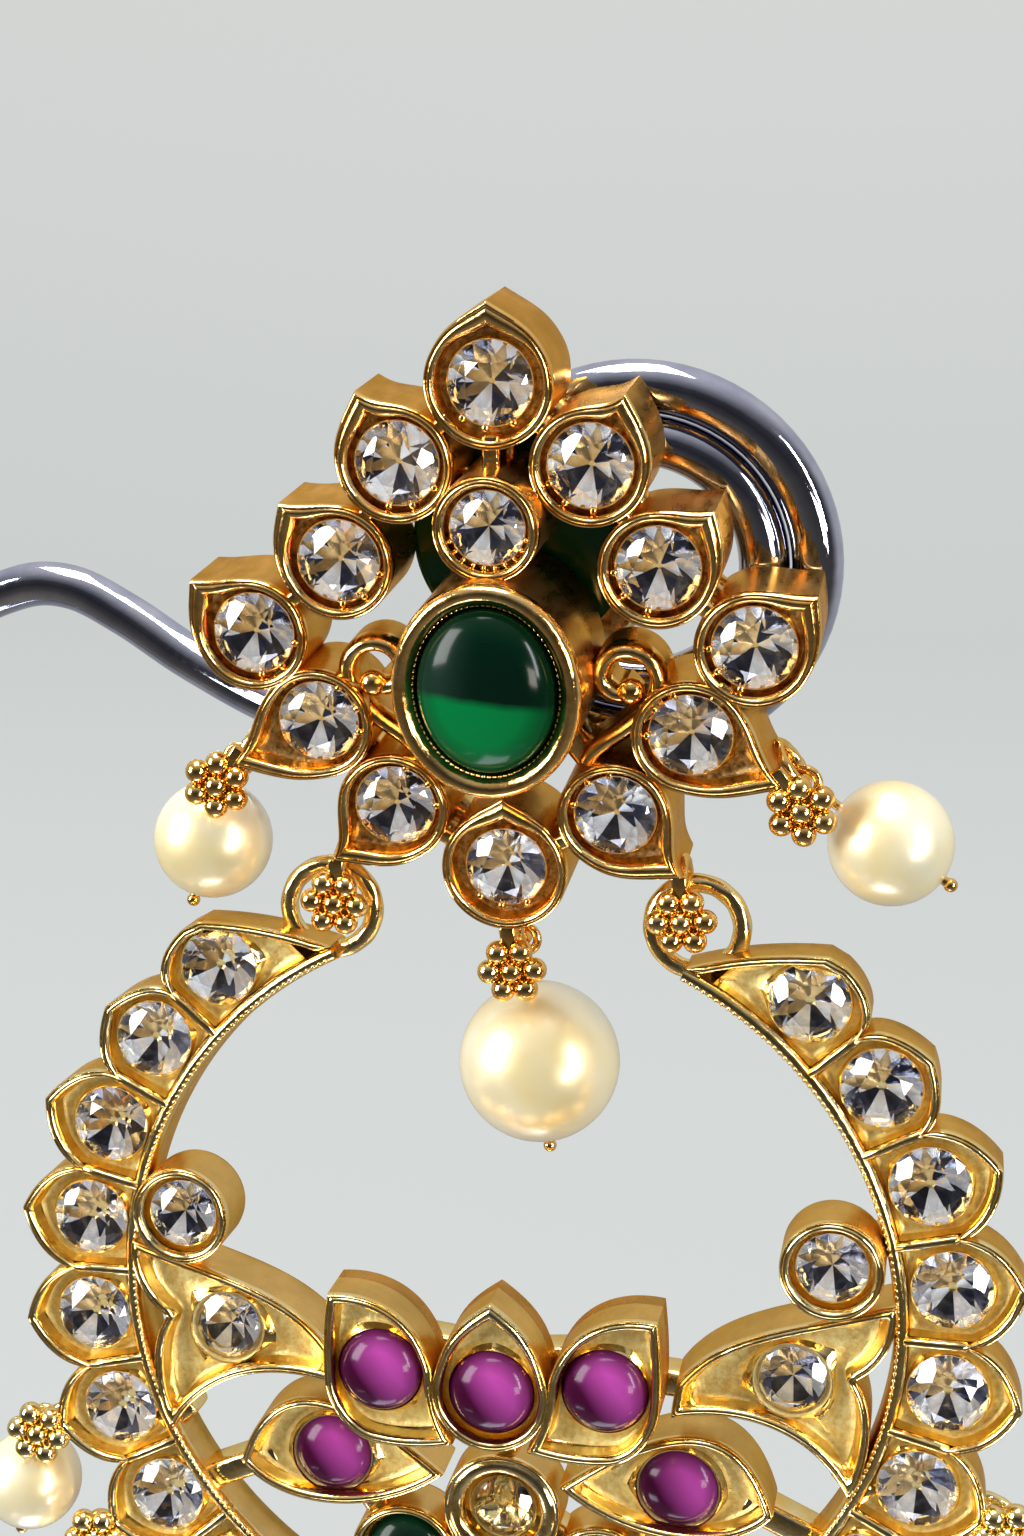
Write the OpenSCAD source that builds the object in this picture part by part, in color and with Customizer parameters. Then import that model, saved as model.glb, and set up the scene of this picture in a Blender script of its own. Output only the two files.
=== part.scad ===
// Chandbali earring hanging on a plain chrome wire stand. Millimetres, +Z up, the front faces -Y,
// and the origin is the middle of the foot's underside. The stud leans forward by its nod and the
// crescent hangs plumb from two rosette eyes.

/* [Stones] */
// Diameter of the round white stones
stone_d = 2.9; // [2.6:0.05:3.1]
// Width across the oval green stone
oval_stone_w = 4.8; // [4.4:0.1:5.2]
// Height of the oval green stone
oval_stone_h = 5.8; // [5.4:0.1:6.2]
// Diameter of the round coloured stones on the crescent
colour_stone_d = 3.15; // [2.9:0.05:3.3]
// Diameter of the small stones in the plain round bezels
small_stone_d = 2.55; // [2.3:0.05:2.8]

/* [Settings] */
// Width of a cast rim around a stone
rim_w = 0.38; // [0.3:0.02:0.46]
// Gap between a stone and the wall of its setting
stone_gap = 0.2; // [0.12:0.02:0.26]
// Height of the rims in front of the stones' girdles
rim_rise = 0.5; // [0.4:0.05:0.6]
// Whole depth of the stud's walls
stud_depth = 3.5; // [3:0.1:4]
// How far the small round bezel stands proud of the petals
round_proud = 1.2; // [0.9:0.1:1.5]
// How far the oval bezel stands proud of the petals
oval_proud = 2.2; // [1.8:0.1:2.6]

/* [Crescent] */
// Inner radius of the crescent's rim
crescent_r = 14.2; // [13.8:0.1:14.6]
// Width of the milled inner rim
crescent_rim = 0.55; // [0.45:0.05:0.65]
// Whole depth of the crescent's walls
crescent_depth = 2.1; // [2:0.1:2.4]
// How far the purple petals stand proud of the crescent
crown_proud = 2.4; // [2:0.1:2.8]
// How far the round bezels stand proud of the crescent
bead_proud = 1.3; // [1:0.1:1.6]
// Diameter of the wire of the hanging loops
loop_wire = 0.68; // [0.6:0.02:0.74]
// Outer diameter of a hanging loop
loop_d = 3.9; // [3.7:0.05:4.1]

/* [Pearls] */
// Diameter of the two side pearls of the stud
side_pearl_d = 4.4; // [4.2:0.1:4.6]
// Diameter of the middle pearl
middle_pearl_d = 6; // [5.6:0.1:6.2]
// Diameter of the pearls along the crescent
edge_pearl_d = 3.9; // [3.6:0.1:4.1]
// Diameter of the pearl wires
pin_wire = 0.34; // [0.28:0.02:0.4]
// Diameter of one granule of a rosette
granule_d = 0.88; // [0.82:0.01:0.92]

/* [Stand] */
// Diameter of the chrome wire
wire_d = 1.8; // [1.6:0.05:1.9]
// Diameter of the foot
foot_d = 60; // [56:1:70]
// Thickness of the foot
foot_t = 4; // [3.5:0.5:6]
// Gap between the lowest pearl's end bead and the foot
pearl_clear = 4.4; // [3:0.2:8]
// Forward lean of the stud in degrees
nod = 10; // [8:0.5:12]

/* [Hidden] */

// small clearance between separate pieces, and how deep soldered pieces sink into each other
clear = 0.05;
bite = 0.12;

// Stones: the girdle is the plane y = 0 of a setting, the culet points back
crown_share = 0.3;
table_share = 0.56;
culet_share = 0.8;
floor_y = 0.35;
seat_clear = 0.04;
seat_depth = 0.15;
function pavilion_r(d) = d / 2 * (1 - floor_y / (culet_share * d / 2));

// Petals of the stud. Columns in shares of petal_r: x and z of the stone, x and z of the tip
// from the stone; then start angle and end direction of the first flank, and of the second;
// then the size of the petal's outline.
petal_r = stone_d / 2 + stone_gap + rim_w;
stud_back = stud_depth - rim_rise;
petal_top = [0, 3.5, 0, 1.34, 28, 148, 152, 32, 1.08];
petal_pairs = [
    [1.62, 2.16, 0.62, 1.22, -20, 118, 112, 34, 1],
    [2.72, 0.47, 0.95, 1.01, -28, 106, 96, 8, 1],
    [4.31, -0.85, 1.04, 0.95, -30, 98, 92, 2, 1],
    [3.25, -2.42, 1.62, -0.84, -104, 12, 44, -46, 1],
    [1.95, -3.93, 1.17, -1.07, -128, 2, 10, -62, 1]];
petal_foot = [0, -5, 0, 1.34, 30, 146, 150, 34, 1.12];
function mirror_petal(p) = [-p[0], p[1], -p[2], p[3], 180 - p[6], 180 - p[7], 180 - p[4], 180 - p[5], p[8]];
petals = concat([petal_top], petal_pairs, [petal_foot], [for (p = petal_pairs) mirror_petal(p)]);

// Stud centrepieces
round_r = small_stone_d / 2 + stone_gap + rim_w * 0.9;
round_at = [0, 2.52];
round_front = rim_rise + round_proud;
oval_step = 0.5;
oval_at = [0, -2.85];
oval_w = oval_stone_w + 2 * (rim_w + oval_step);
oval_h = oval_stone_h + 2 * (rim_w + oval_step);
oval_front = rim_rise + oval_proud;
oval_dome = 1.2;
stone_dome = 1.0;
web_w = 1.1;
web_front = 1.3;

// Scroll: a spiral curl and its tail, with half of its band's width
scroll_at = [4.3, -3];
scroll_half = 0.33;
scroll_ball = 0.48;
scroll_front = 0.1;
scroll_back = 1.9;

// Rosettes and their eyes; the local origin is the tip that carries them, -Z points away
granule_ring = 1.92 * granule_d / 2;
rosette_front = 0.45;
rosette_plate = 0.4;
eye_wire = 0.5;
eye_hole = 0.57;
eye_r = eye_hole + eye_wire / 2;
eye_drop = 0.7;
rosette_drop = 1.65;
eye_y = 0.9;
pearl_eye_y = 2;
neck_w = 0.6;

// Places of the eyes on the stud, with the angle of their direction from straight down
tip_foot = [0, petal_foot[1] * petal_r - 1.1 * petal_r];
tip_side = [(petal_pairs[3][0] + petal_pairs[3][2]) * petal_r - 0.42,
            (petal_pairs[3][1] + petal_pairs[3][3]) * petal_r + 0.6];
tip_link = [(petal_pairs[4][0] + petal_pairs[4][2]) * petal_r - 0.14,
            (petal_pairs[4][1] + petal_pairs[4][3]) * petal_r + 0.06];
side_lean = 36;
foot_lean = 6;
link_lean = 4;
function eye_at(tip, lean) = [tip[0] + eye_drop * sin(lean), tip[1] - eye_drop * cos(lean)];

// Pearl wires: a loop round the eye's lowest wire, and the drop from there to the pearl's middle
pin_play = 0.07;
pin_loop_r = eye_wire / 2 + pin_play + pin_wire / 2;
left_drop = side_pearl_d / 2 + 1.04;
right_drop = side_pearl_d / 2 + 1.44;
middle_drop = middle_pearl_d / 2 + 1.7;
edge_drop = edge_pearl_d / 2 + 0.75;
left_swing = 19.5;
right_swing = -58.5;
middle_swing = -7.5;
bead_end = 0.3;
pin_end = 0.2;

// The stud's frame leans by nod about its own middle
function lean_y(y, z) = y * cos(nod) - z * sin(nod);
function lean_z(y, z) = y * sin(nod) + z * cos(nod);
stud_set_y = -1.95;

// The hinge line runs through the two link eyes, and the crescent's loops hang on it
link_eye = eye_at(tip_link, link_lean);
hinge_lean = [0, lean_y(eye_y + stud_set_y, link_eye[1]), lean_z(eye_y + stud_set_y, link_eye[1])];
hang_y = 0.85;
loop_x = link_eye[0] + 0.5;
loop_r = (loop_d - loop_wire) / 2;

// Crescent frame: its ring's centre is the local origin; the ring's tips sink into the loops' wire
tip_sink = 0.4;
tip_x = loop_x - 0.23;
tip_angle = asin(tip_x / (crescent_r + crescent_rim));
ring_drop = (crescent_r + crescent_rim) * cos(tip_angle) + 2 * loop_r - tip_sink;
cell_r = crescent_r + crescent_rim + stone_gap + stone_d / 2 - 0.1;
cell_count = 21;
end_span = 15.6;
cell_first = tip_angle + end_span;
cell_step = (180 - cell_first) / ((cell_count - 1) / 2);
valley_r = cell_r + 0.65;
peak_rise = [1.25, 1.5, 2.0];
ridge_half = 0.2;
crescent_back = crescent_depth - rim_rise;
function cell_angle(i) = cell_first + i * cell_step;
function peak(i) = peak_rise[min(min(i, cell_count - 1 - i), 2)];
// scalloped outline of one cell, u from -1 to 1 across it
function scallop(i, u) = valley_r + peak(i) * (min(i, cell_count - 1 - i) < 1
    ? sqrt(1 - u * u) : 0.45 * sqrt(1 - u * u) + 0.55 * pow(1 - abs(u), 0.65));
u_steps = [-1, -0.93, -0.75, -0.5, -0.25, 0, 0.25, 0.5, 0.75, 0.93];
function polar(r, a) = [r * sin(a), r * cos(a)];
end_slope_steps = [0, 0.35, 0.7];
function end_r(t, inset) = (crescent_r + crescent_rim) * (1 - t) + (valley_r + peak_rise[0]) * t - inset;
end_peak = cell_first - cell_step * 0.12;
function outer_half(inset) = concat(
    [for (t = end_slope_steps) polar(end_r(t, inset), tip_angle + (end_peak - tip_angle) * t)],
    [for (u = [0, 0.3, 0.6, 0.85, 0.96]) polar(scallop(0, u) - inset, cell_first + u * cell_step / 2)],
    [for (i = [1:(cell_count - 3) / 2]) for (u = u_steps)
        polar(scallop(i, u) - inset, cell_angle(i) + u * cell_step / 2)],
    [for (u = [for (v = u_steps) if (v <= 0) v])
        polar(scallop((cell_count - 1) / 2, u) - inset, 180 + u * cell_step / 2)]);
function flip_x(points) = [for (k = [len(points) - 2:-1:0]) [-points[k][0], points[k][1]]];
ring_outline = concat(outer_half(0), flip_x(outer_half(0)));

// Inner motif of the crescent: places of the stones, x and z from the ring's centre, in tenths
// of the ring's inner radius
tenth = crescent_r / 10;
crown_side_at = [2.92, -1.42] * tenth;
crown_mid_at = [0, -1.74] * tenth;
crown_r = colour_stone_d / 2 + stone_gap + rim_w;
crown_front = rim_rise + crown_proud;
crown_back = floor_y - crown_proud + 0.95;
stem_r = 1;
bead_at = [8.45, 2.06] * tenth;
bead_r = small_stone_d / 2 + stone_gap + rim_w;
bead_front = rim_rise + bead_proud;
bead_back = 0.5;
wing_at = [7.51, -1.35] * tenth;
wing_front = rim_rise + 0.4;
leaf_at = [4.65, -4.71] * tenth;
leaf_front = rim_rise + 0.3;
centre_at = [0, -5.77] * tenth;
centre_r = small_stone_d / 2 + stone_gap + 2 * rim_w;
centre_front = rim_rise + 0.2;
emerald_at = [2.66, -7.42] * tenth;
drop_at = [0, -8.35] * tenth;
inner_r = stone_d / 2 + stone_gap + rim_w;
green_r = colour_stone_d / 2 + stone_gap * 0.7 + rim_w;
// Curved outlines as the ends and the two handles of each side: the wing and the leaf in tenths
// of the inner radius, the crown's side petal in shares of crown_r from its stone
wing_sides = [
    [[4.58, -1.58], [5.63, -0.04], [7.6, 0.18], [10.07, 1.02]],
    [[10.07, 1.02], [10.2, 0.04], [9.65, -0.81], [9.12, -1.06]],
    [[9.12, -1.06], [9.65, -1.73], [9.65, -3.2], [9.05, -4.37]],
    [[9.05, -4.37], [8.24, -2.71], [6.48, -2.01], [4.44, -2.57]],
    [[4.44, -2.57], [4.48, -2.2], [4.53, -1.9], [4.58, -1.58]]];
leaf_sides = [
    [[1.55, -4.86], [3.24, -3.49], [6.13, -1.51], [7.15, -5.07]],
    [[7.15, -5.07], [6.06, -6.44], [3.24, -6.3], [1.55, -4.86]]];
crown_sides = [
    [[0.88, 1.35], [-0.09, 1.48], [-0.74, 0.93], [-0.93, 0.14]],
    [[-0.93, 0.14], [-0.95, -0.42], [-1.07, -0.84], [-1.3, -1.16]],
    [[-1.3, -1.16], [-0.84, -1.28], [-0.37, -1.32], [0.09, -1.25]],
    [[0.09, -1.25], [0.56, -1.18], [0.95, -0.65], [0.95, -0.05]],
    [[0.95, -0.05], [0.97, 0.46], [0.93, 0.93], [0.88, 1.35]]];

// Eyes along the crescent's lower edge: first and last cell that carry one
edge_first = 5;
edge_last = cell_count - 1 - edge_first;
edge_eye_out = 0.35;
edge_rosette_out = 0.85;
edge_lean_share = 0.2;
function edge_tip_r(i) = valley_r + peak(i);
function edge_hook(i) = polar(edge_tip_r(i) + edge_eye_out + eye_r, cell_angle(i));
function edge_swing(i) = (cell_angle(i) - 180) * edge_lean_share;

// The stud's height leaves the lowest pearl clear of the foot
hang_length = ring_drop + edge_tip_r((cell_count - 1) / 2) + edge_eye_out + eye_r + edge_drop
    + edge_pearl_d / 2 + 2 * bead_end;
stud_h = foot_t + pearl_clear + hang_length - hinge_lean[2];
function stud_to_world(p) = [p[0], lean_y(p[1] + stud_set_y, p[2]), lean_z(p[1] + stud_set_y, p[2]) + stud_h];
hinge = hinge_lean + [0, 0, stud_h];

// Coil of the stand, in the stud's frame: two turns that tighten where the stud hides them
coil_at = [4.25, 0];
coil_outer_r = 6.3;
coil_inner_r = coil_outer_r - wire_d - clear;
coil_y = stud_back + 2 * clear + wire_d / 2;
coil_start = -108;
coil_tighten = [150, 250];
coil_end = 500;
coil_step = 15;
function ease(t) = t <= 0 ? 0 : t >= 1 ? 1 : t * t * (3 - 2 * t);
function coil_r(a) = coil_outer_r - (coil_outer_r - coil_inner_r)
    * ease((a - coil_tighten[0]) / (coil_tighten[1] - coil_tighten[0]));
coil_points = [for (a = [coil_start:coil_step:coil_end])
    stud_to_world([coil_at[0] + coil_r(a) * cos(a), coil_y, coil_at[1] + coil_r(a) * sin(a)])];

// Route of the stand's wire from its foot up the leg and over the arm, x, y and height from the stud
leg_at = [-26.3, 9];
leg_seat = 3;
arm_route = [[-26.3, 9, -30], [-26.3, 9, -14], [-26.1, 9, -7], [-25, 9, -3.4], [-22.3, 9, -1.9],
             [-20, 9, -1.8], [-17.6, 9, -2.9], [-14.6, 8.6, -4.6], [-10.5, 7.4, -6.2],
             [-6, 5.4, -6.8], [-1.8, 3.4, -6.5]];
route = concat([[leg_at[0], leg_at[1], foot_t - leg_seat + clear]],
               [for (p = arm_route) [p[0], p[1], stud_h + p[2]]], coil_points);

// Ear post: inside the coil's hole, resting near the inner turn, with its nut behind the coil
post_d = 0.9;
post_angle = 200;
post_reach = coil_inner_r - wire_d / 2 - post_d / 2 - 2 * clear;
post_at = [coil_at[0] + post_reach * cos(post_angle), coil_at[1] + post_reach * sin(post_angle)];
post_seat = 0.8;
post_end = 10.5;
nut_d = 6;
nut_t = 1.2;
nut_front = coil_y + wire_d / 2 + 2 * clear;

module stud_place() translate([0, 0, stud_h]) rotate([nod, 0, 0]) translate([0, stud_set_y, 0]) children();
module crescent_place() translate(hinge) translate([0, -hang_y, -ring_drop]) children();

// Flat outline in x and z, extruded from y = front to y = back
module plate(front, back) translate([0, back, 0]) rotate([90, 0, 0]) linear_extrude(back - front) children();
module at(p) translate([p[0], p[1]]) children();
module along_y(y0, y1, r) translate([0, y1, 0]) rotate([90, 0, 0]) cylinder(h = y1 - y0, r = r, $fn = 48);

function bezier(a, b, c, d, t) = a * pow(1 - t, 3) + 3 * b * t * pow(1 - t, 2) + 3 * c * t * t * (1 - t) + d * pow(t, 3);
function unit(a) = [cos(a), sin(a)];
// Closed outline: an arc of radius r from angle a2 round to a1, with two curved flanks to the tip
function teardrop(r, tip, a1, d1, a2, d2) = let (
    p1 = r * unit(a1), p2 = r * unit(a2),
    h1 = norm(tip - p1) * 0.42, h2 = norm(tip - p2) * 0.42,
    far = a1 + 360)
    concat(
        [for (k = [0:14]) r * unit(a2 + (far - a2) * k / 14)],
        [for (k = [1:6]) bezier(p1, p1 + h1 * unit(a1 + 90), tip - h1 * unit(d1), tip, k / 6)],
        [for (k = [1:5]) bezier(tip, tip - h2 * unit(d2), p2 + h2 * unit(a2 - 90), p2, k / 6)]);
// A petal's outline, inset by its rim when inset is above 0
function petal_outline(p, inset) = let (
    tip = [p[2], p[3]] * petal_r, len = norm(tip))
    teardrop(petal_r * p[8] - inset, tip * (1 - 2.1 * inset / len), p[4], p[5], p[6], p[7]);
function petal_centre(p) = [p[0], p[1]] * petal_r;
// Closed outline of curved sides, and the same drawn in by w square to its sides
curve_step = 1;
function outline(sides, unit, at = [0, 0]) = [for (q = sides)
    let (n = max(1, round(norm(q[3] - q[0]) * unit / curve_step)))
    for (k = [1:n]) at + unit * bezier(q[0], q[1], q[2], q[3], k / n)];
function turned(v) = [v[1], -v[0]] / norm(v);
function twice_area(line, k = 0, sum = 0) = k == len(line) ? sum
    : let (p = line[k], q = line[(k + 1) % len(line)]) twice_area(line, k + 1, sum + p[0] * q[1] - q[0] * p[1]);
function drawn_in(line, w) = let (n = len(line), side = twice_area(line) > 0 ? -w : w) [for (k = [0:n - 1])
    let (a = turned(line[k] - line[(k + n - 1) % n]), b = turned(line[(k + 1) % n] - line[k]))
    line[k] + side * (a + b) / max(0.3, 1 + a * b)];
function ellipse(a, b, n = 60) = [for (k = [0:n - 1]) [a * cos(360 * k / n), b * sin(360 * k / n)]];

// Round brilliant: an octagonal table, 24 crown facets and 16 pavilion facets
module brilliant(d) {
    r = d / 2;
    points = concat(
        [for (i = [0:7]) [table_share * r * cos(45 * i + 22.5), -crown_share * r, table_share * r * sin(45 * i + 22.5)]],
        [for (k = [0:15]) [r * cos(22.5 * k), 0, r * sin(22.5 * k)]],
        [[0, culet_share * r, 0]]);
    faces = concat(
        [[for (i = [0:7]) i]],
        [for (i = [0:7]) [i, 8 + 2 * i, 9 + 2 * i]],
        [for (i = [0:7]) [i, 9 + 2 * i, 8 + (2 * i + 2) % 16]],
        [for (i = [0:7]) [i, 8 + (2 * i + 2) % 16, (i + 1) % 8]],
        [for (k = [0:15]) [24, 8 + (k + 1) % 16, 8 + k]]);
    polyhedron(points, [for (f = faces) [for (k = [len(f) - 1:-1:0]) f[k]]]);
}

// Domed cabochon on a flat back: rings of the dome at equal steps of angle
module cabochon(a, b, dome, base, sides = 28, rings = 5) {
    points = concat(
        [for (k = [0:sides - 1]) [a * cos(360 * k / sides), base, b * sin(360 * k / sides)]],
        [for (j = [0:rings - 1]) for (k = [0:sides - 1])
            [a * cos(90 * j / rings) * cos(360 * k / sides), -dome * sin(90 * j / rings),
             b * cos(90 * j / rings) * sin(360 * k / sides)]],
        [[0, -dome, 0]]);
    top = sides * (rings + 1);
    faces = concat(
        [[for (k = [0:sides - 1]) sides - 1 - k]],
        [for (j = [0:rings - 1]) for (k = [0:sides - 1])
            [j * sides + k, j * sides + (k + 1) % sides, (j + 1) * sides + (k + 1) % sides, (j + 1) * sides + k]],
        [for (k = [0:sides - 1]) [rings * sides + k, rings * sides + (k + 1) % sides, top]]);
    polyhedron(points, [for (f = faces) [for (k = [len(f) - 1:-1:0]) f[k]]]);
}

// Hollow in front of a round stone's seat, and the seat itself
module stone_seat(d) along_y(floor_y - bite, culet_share * d / 2 + seat_depth, pavilion_r(d) + seat_clear);

// Torus whose hole runs along X, for eyes; turned by a about Y
module eye(r, wire) rotate([0, 90, 0]) rotate_extrude($fn = 40) translate([r, 0]) circle(d = wire, $fn = 20);
module flat_loop(r, wire) rotate([90, 0, 0]) rotate_extrude($fn = 48) translate([r, 0]) circle(d = wire, $fn = 20);

// Seven granules on a small plate, soldered to the front of an eye, seen from the tip
module rosette(eye_out, rosette_out, y = eye_y) {
    translate([0, y, -eye_out]) eye(eye_r, eye_wire);
    translate([0, 0, -rosette_out]) {
        along_y(-rosette_front, -rosette_front + rosette_plate, granule_ring);
        translate([0, -rosette_front, 0]) sphere(d = granule_d, $fn = 24);
        for (k = [0:5]) rotate([0, 60 * k + 30, 0])
            translate([granule_ring, -rosette_front, 0]) sphere(d = granule_d, $fn = 24);
    }
}
module stud_rosette(tip, lean, y = eye_y) translate([tip[0], 0, tip[1]]) rotate([0, -lean, 0]) {
    rosette(eye_drop, rosette_drop, y);
    plate(-rosette_front, -rosette_front + rosette_plate) bar([0, 0], [0, -rosette_drop], neck_w);
}

// Flat bar between two points
module bar(a, b, w) translate(a) rotate(atan2(b[1] - a[1], b[0] - a[0])) translate([0, -w / 2]) square([norm(b - a), w]);

// Scroll centreline: the tail rises from below the oval, then the curl winds inwards
scroll_outer = 1.2;
scroll_inner = 0.5;
scroll_line = concat(
    [for (k = [0:6]) bezier([2.95, -6.1], [3.2, -5.2], scroll_at + [scroll_outer, -1.7],
        scroll_at + [scroll_outer, 0], k / 6)],
    [for (a = [24:23:300]) scroll_at + (scroll_outer + (scroll_inner - scroll_outer) * a / 300) * unit(a)]);
function normal_at(line, k) = let (d = line[min(k + 1, len(line) - 1)] - line[max(k - 1, 0)]) [-d[1], d[0]] / norm(d);
function band(line, half) = concat(
    [for (k = [0:len(line) - 1]) line[k] + normal_at(line, k) * half],
    [for (k = [len(line) - 1:-1:0]) line[k] - normal_at(line, k) * half]);

module webs_2d() {
    top = petal_centre(petal_top);
    foot = petal_centre(petal_foot);
    bar(top, oval_at, web_w);
    bar(oval_at, foot, web_w);
    side = [for (p = petal_pairs) petal_centre(p)];
    for (s = [0, 1]) mirror([s, 0]) {
        bar(top, side[0], web_w);
        for (k = [0:3]) bar(side[k], side[k + 1], web_w);
        bar(side[4], foot, web_w);
        bar(side[0], round_at, web_w);
        bar(side[4], oval_at, web_w);
    }
}
module stud_cavities() {
    for (p = petals) {
        c = petal_centre(p);
        translate([c[0], 0, c[1]]) {
            plate(-rim_rise - 1, floor_y) polygon(petal_outline(p, rim_w));
            stone_seat(stone_d);
        }
    }
    translate([round_at[0], -round_proud, round_at[1]]) {
        along_y(-rim_rise - 1, floor_y, round_r - rim_w);
        stone_seat(small_stone_d);
    }
    translate([oval_at[0], 0, oval_at[1]]) {
        plate(-oval_front - 1, -oval_proud - 0.1) polygon(ellipse(oval_w / 2 - rim_w, oval_h / 2 - rim_w));
        plate(-oval_front, -oval_proud + seat_depth + bite)
            polygon(ellipse(oval_stone_w / 2 + clear, oval_stone_h / 2 + clear));
    }
    translate([post_at[0], 0, post_at[1]]) along_y(stud_back - post_seat, stud_back + 1, post_d / 2 + clear);
}
module stud_frame() color("goldenrod") stud_place() difference() {
    union() {
        plate(-rim_rise, stud_back) for (p = petals) at(petal_centre(p)) polygon(petal_outline(p, 0));
        plate(web_front, stud_back - bite) webs_2d();
        translate([round_at[0], 0, round_at[1]]) along_y(-round_front, stud_back - bite, round_r);
        plate(-oval_front, stud_back - 2 * bite) at(oval_at) polygon(ellipse(oval_w / 2, oval_h / 2));
        mirrored() plate(scroll_front, scroll_back) {
            polygon(band(scroll_line, scroll_half));
            at(scroll_line[len(scroll_line) - 1]) circle(r = scroll_ball, $fn = 32);
        }
        stud_rosette(tip_foot, foot_lean, pearl_eye_y);
        for (s = [-1, 1]) {
            stud_rosette([s * tip_side[0], tip_side[1]], s * side_lean, pearl_eye_y);
            stud_rosette([s * tip_link[0], tip_link[1]], s * link_lean);
        }
    }
    stud_cavities();
}

module stone_petal(n) {
    c = petal_centre(petals[n - 1]);
    color("whitesmoke") stud_place() translate([c[0], 0, c[1]]) brilliant(stone_d);
}
module stone_round() color("whitesmoke") stud_place()
    translate([round_at[0], -round_proud, round_at[1]]) brilliant(small_stone_d);
module emerald_oval() color("darkgreen") stud_place() translate([oval_at[0], -oval_proud, oval_at[1]])
    cabochon(oval_stone_w / 2, oval_stone_h / 2, oval_dome, seat_depth, 40, 6);
module ear_post() color("goldenrod") stud_place() translate([post_at[0], 0, post_at[1]]) {
    along_y(stud_back - post_seat + clear, post_end, post_d / 2);
    along_y(nut_front, nut_front + nut_t, nut_d / 2);
}

// A pearl and its wire hang along -Z from an eye's lowest wire
module pearl(drop, d) difference() {
    translate([0, 0, -drop]) sphere(d = d, $fn = 64);
    translate([0, 0, -drop - d]) cylinder(h = 2 * d, d = pin_wire + 2 * clear, $fn = 24);
}
module pin(drop, d) {
    flat_loop(pin_loop_r, pin_wire);
    translate([0, 0, -drop - d / 2 - pin_end])
        cylinder(h = drop + d / 2 + pin_end - pin_loop_r + pin_wire * 0.4, d = pin_wire, $fn = 32);
    translate([0, 0, -drop - d / 2 - bead_end]) sphere(r = bead_end - clear, $fn = 24);
}
module hang(tip, lean, swing) {
    e = tip + (eye_drop + eye_r) * [sin(lean), -cos(lean)];
    stud_place() translate([e[0], pearl_eye_y, e[1]]) rotate([0, swing, 0]) rotate([-nod, 0, 0]) children();
}
module pearl_left() color("ivory") hang([-tip_side[0], tip_side[1]], -side_lean, left_swing) pearl(left_drop, side_pearl_d);
module pearl_middle() color("ivory") hang(tip_foot, foot_lean, middle_swing) pearl(middle_drop, middle_pearl_d);
module pearl_right() color("ivory") hang(tip_side, side_lean, right_swing) pearl(right_drop, side_pearl_d);
module pin_left() color("goldenrod") hang([-tip_side[0], tip_side[1]], -side_lean, left_swing) pin(left_drop, side_pearl_d);
module pin_middle() color("goldenrod") hang(tip_foot, foot_lean, middle_swing) pin(middle_drop, middle_pearl_d);
module pin_right() color("goldenrod") hang(tip_side, side_lean, right_swing) pin(right_drop, side_pearl_d);

// Inner side of cell i: the sector between its ridges, from the rim to the inset scallop
function ridge_angle(r) = asin(ridge_half / r);
function cell_outline(i) = let (
    a0 = cell_angle(i) - cell_step / 2, a1 = cell_angle(i) + cell_step / 2, ri = crescent_r + crescent_rim,
    ro = valley_r - rim_w)
    concat(
        [for (t = [0:0.25:1]) polar(ri, a0 + ridge_angle(ri) + (cell_step - 2 * ridge_angle(ri)) * t)],
        [polar(ro, a1 - ridge_angle(ro))],
        [for (u = [0.86, 0.6, 0.3, 0, -0.3, -0.6, -0.86])
            polar(scallop(i, u) - rim_w * (1 + 0.5 * (1 - abs(u))), cell_angle(i) + u * cell_step / 2 * 0.97)],
        [polar(ro, a0 + ridge_angle(ro))]);
function end_cell_outline() = let (a1 = cell_first + cell_step / 2, ri = crescent_r + crescent_rim, ro = valley_r - rim_w)
    concat(
        [for (t = [0:0.2:0.9]) polar(ri, tip_angle + 5.5 + (a1 - tip_angle - 5.5) * t)],
        [polar(ri, a1 - ridge_angle(ri)), polar(ro, a1 - ridge_angle(ro))],
        [for (u = [0.85, 0.6, 0.3, 0]) polar(scallop(0, u) - rim_w, cell_first + u * cell_step / 2)],
        [for (t = [0.85, 0.6, 0.4]) polar(end_r(t, rim_w), tip_angle + (end_peak - tip_angle) * t)]);

crown_side = outline(crown_sides, crown_r, crown_side_at);
crown_apex = 1.64;
crown_mid = teardrop(crown_r, [0, crown_apex * crown_r], 12, 146, 168, 34);
crown_mid_in = teardrop(crown_r - rim_w, [0, crown_apex * crown_r - 1.7 * rim_w], 12, 146, 168, 34);
wing_line = outline(wing_sides, tenth);
leaf_line = outline(leaf_sides, tenth);
module mirrored() {
    children();
    mirror([1, 0, 0]) children();
}
drop_tip = [0, -1.23];
drop_outline = teardrop(inner_r, drop_tip * inner_r, -148, -68, -32, -112);
drop_hollow = teardrop(inner_r - rim_w, drop_tip * (inner_r - rim_w) * 0.9, -148, -68, -32, -112);
emerald_tip = [0.9, -0.95];
emerald_outline = teardrop(green_r, emerald_tip * green_r, -110, -20, 20, -70);
emerald_hollow = teardrop(green_r - rim_w, emerald_tip * (green_r - rim_w) * 0.94, -110, -20, 20, -70);

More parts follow.
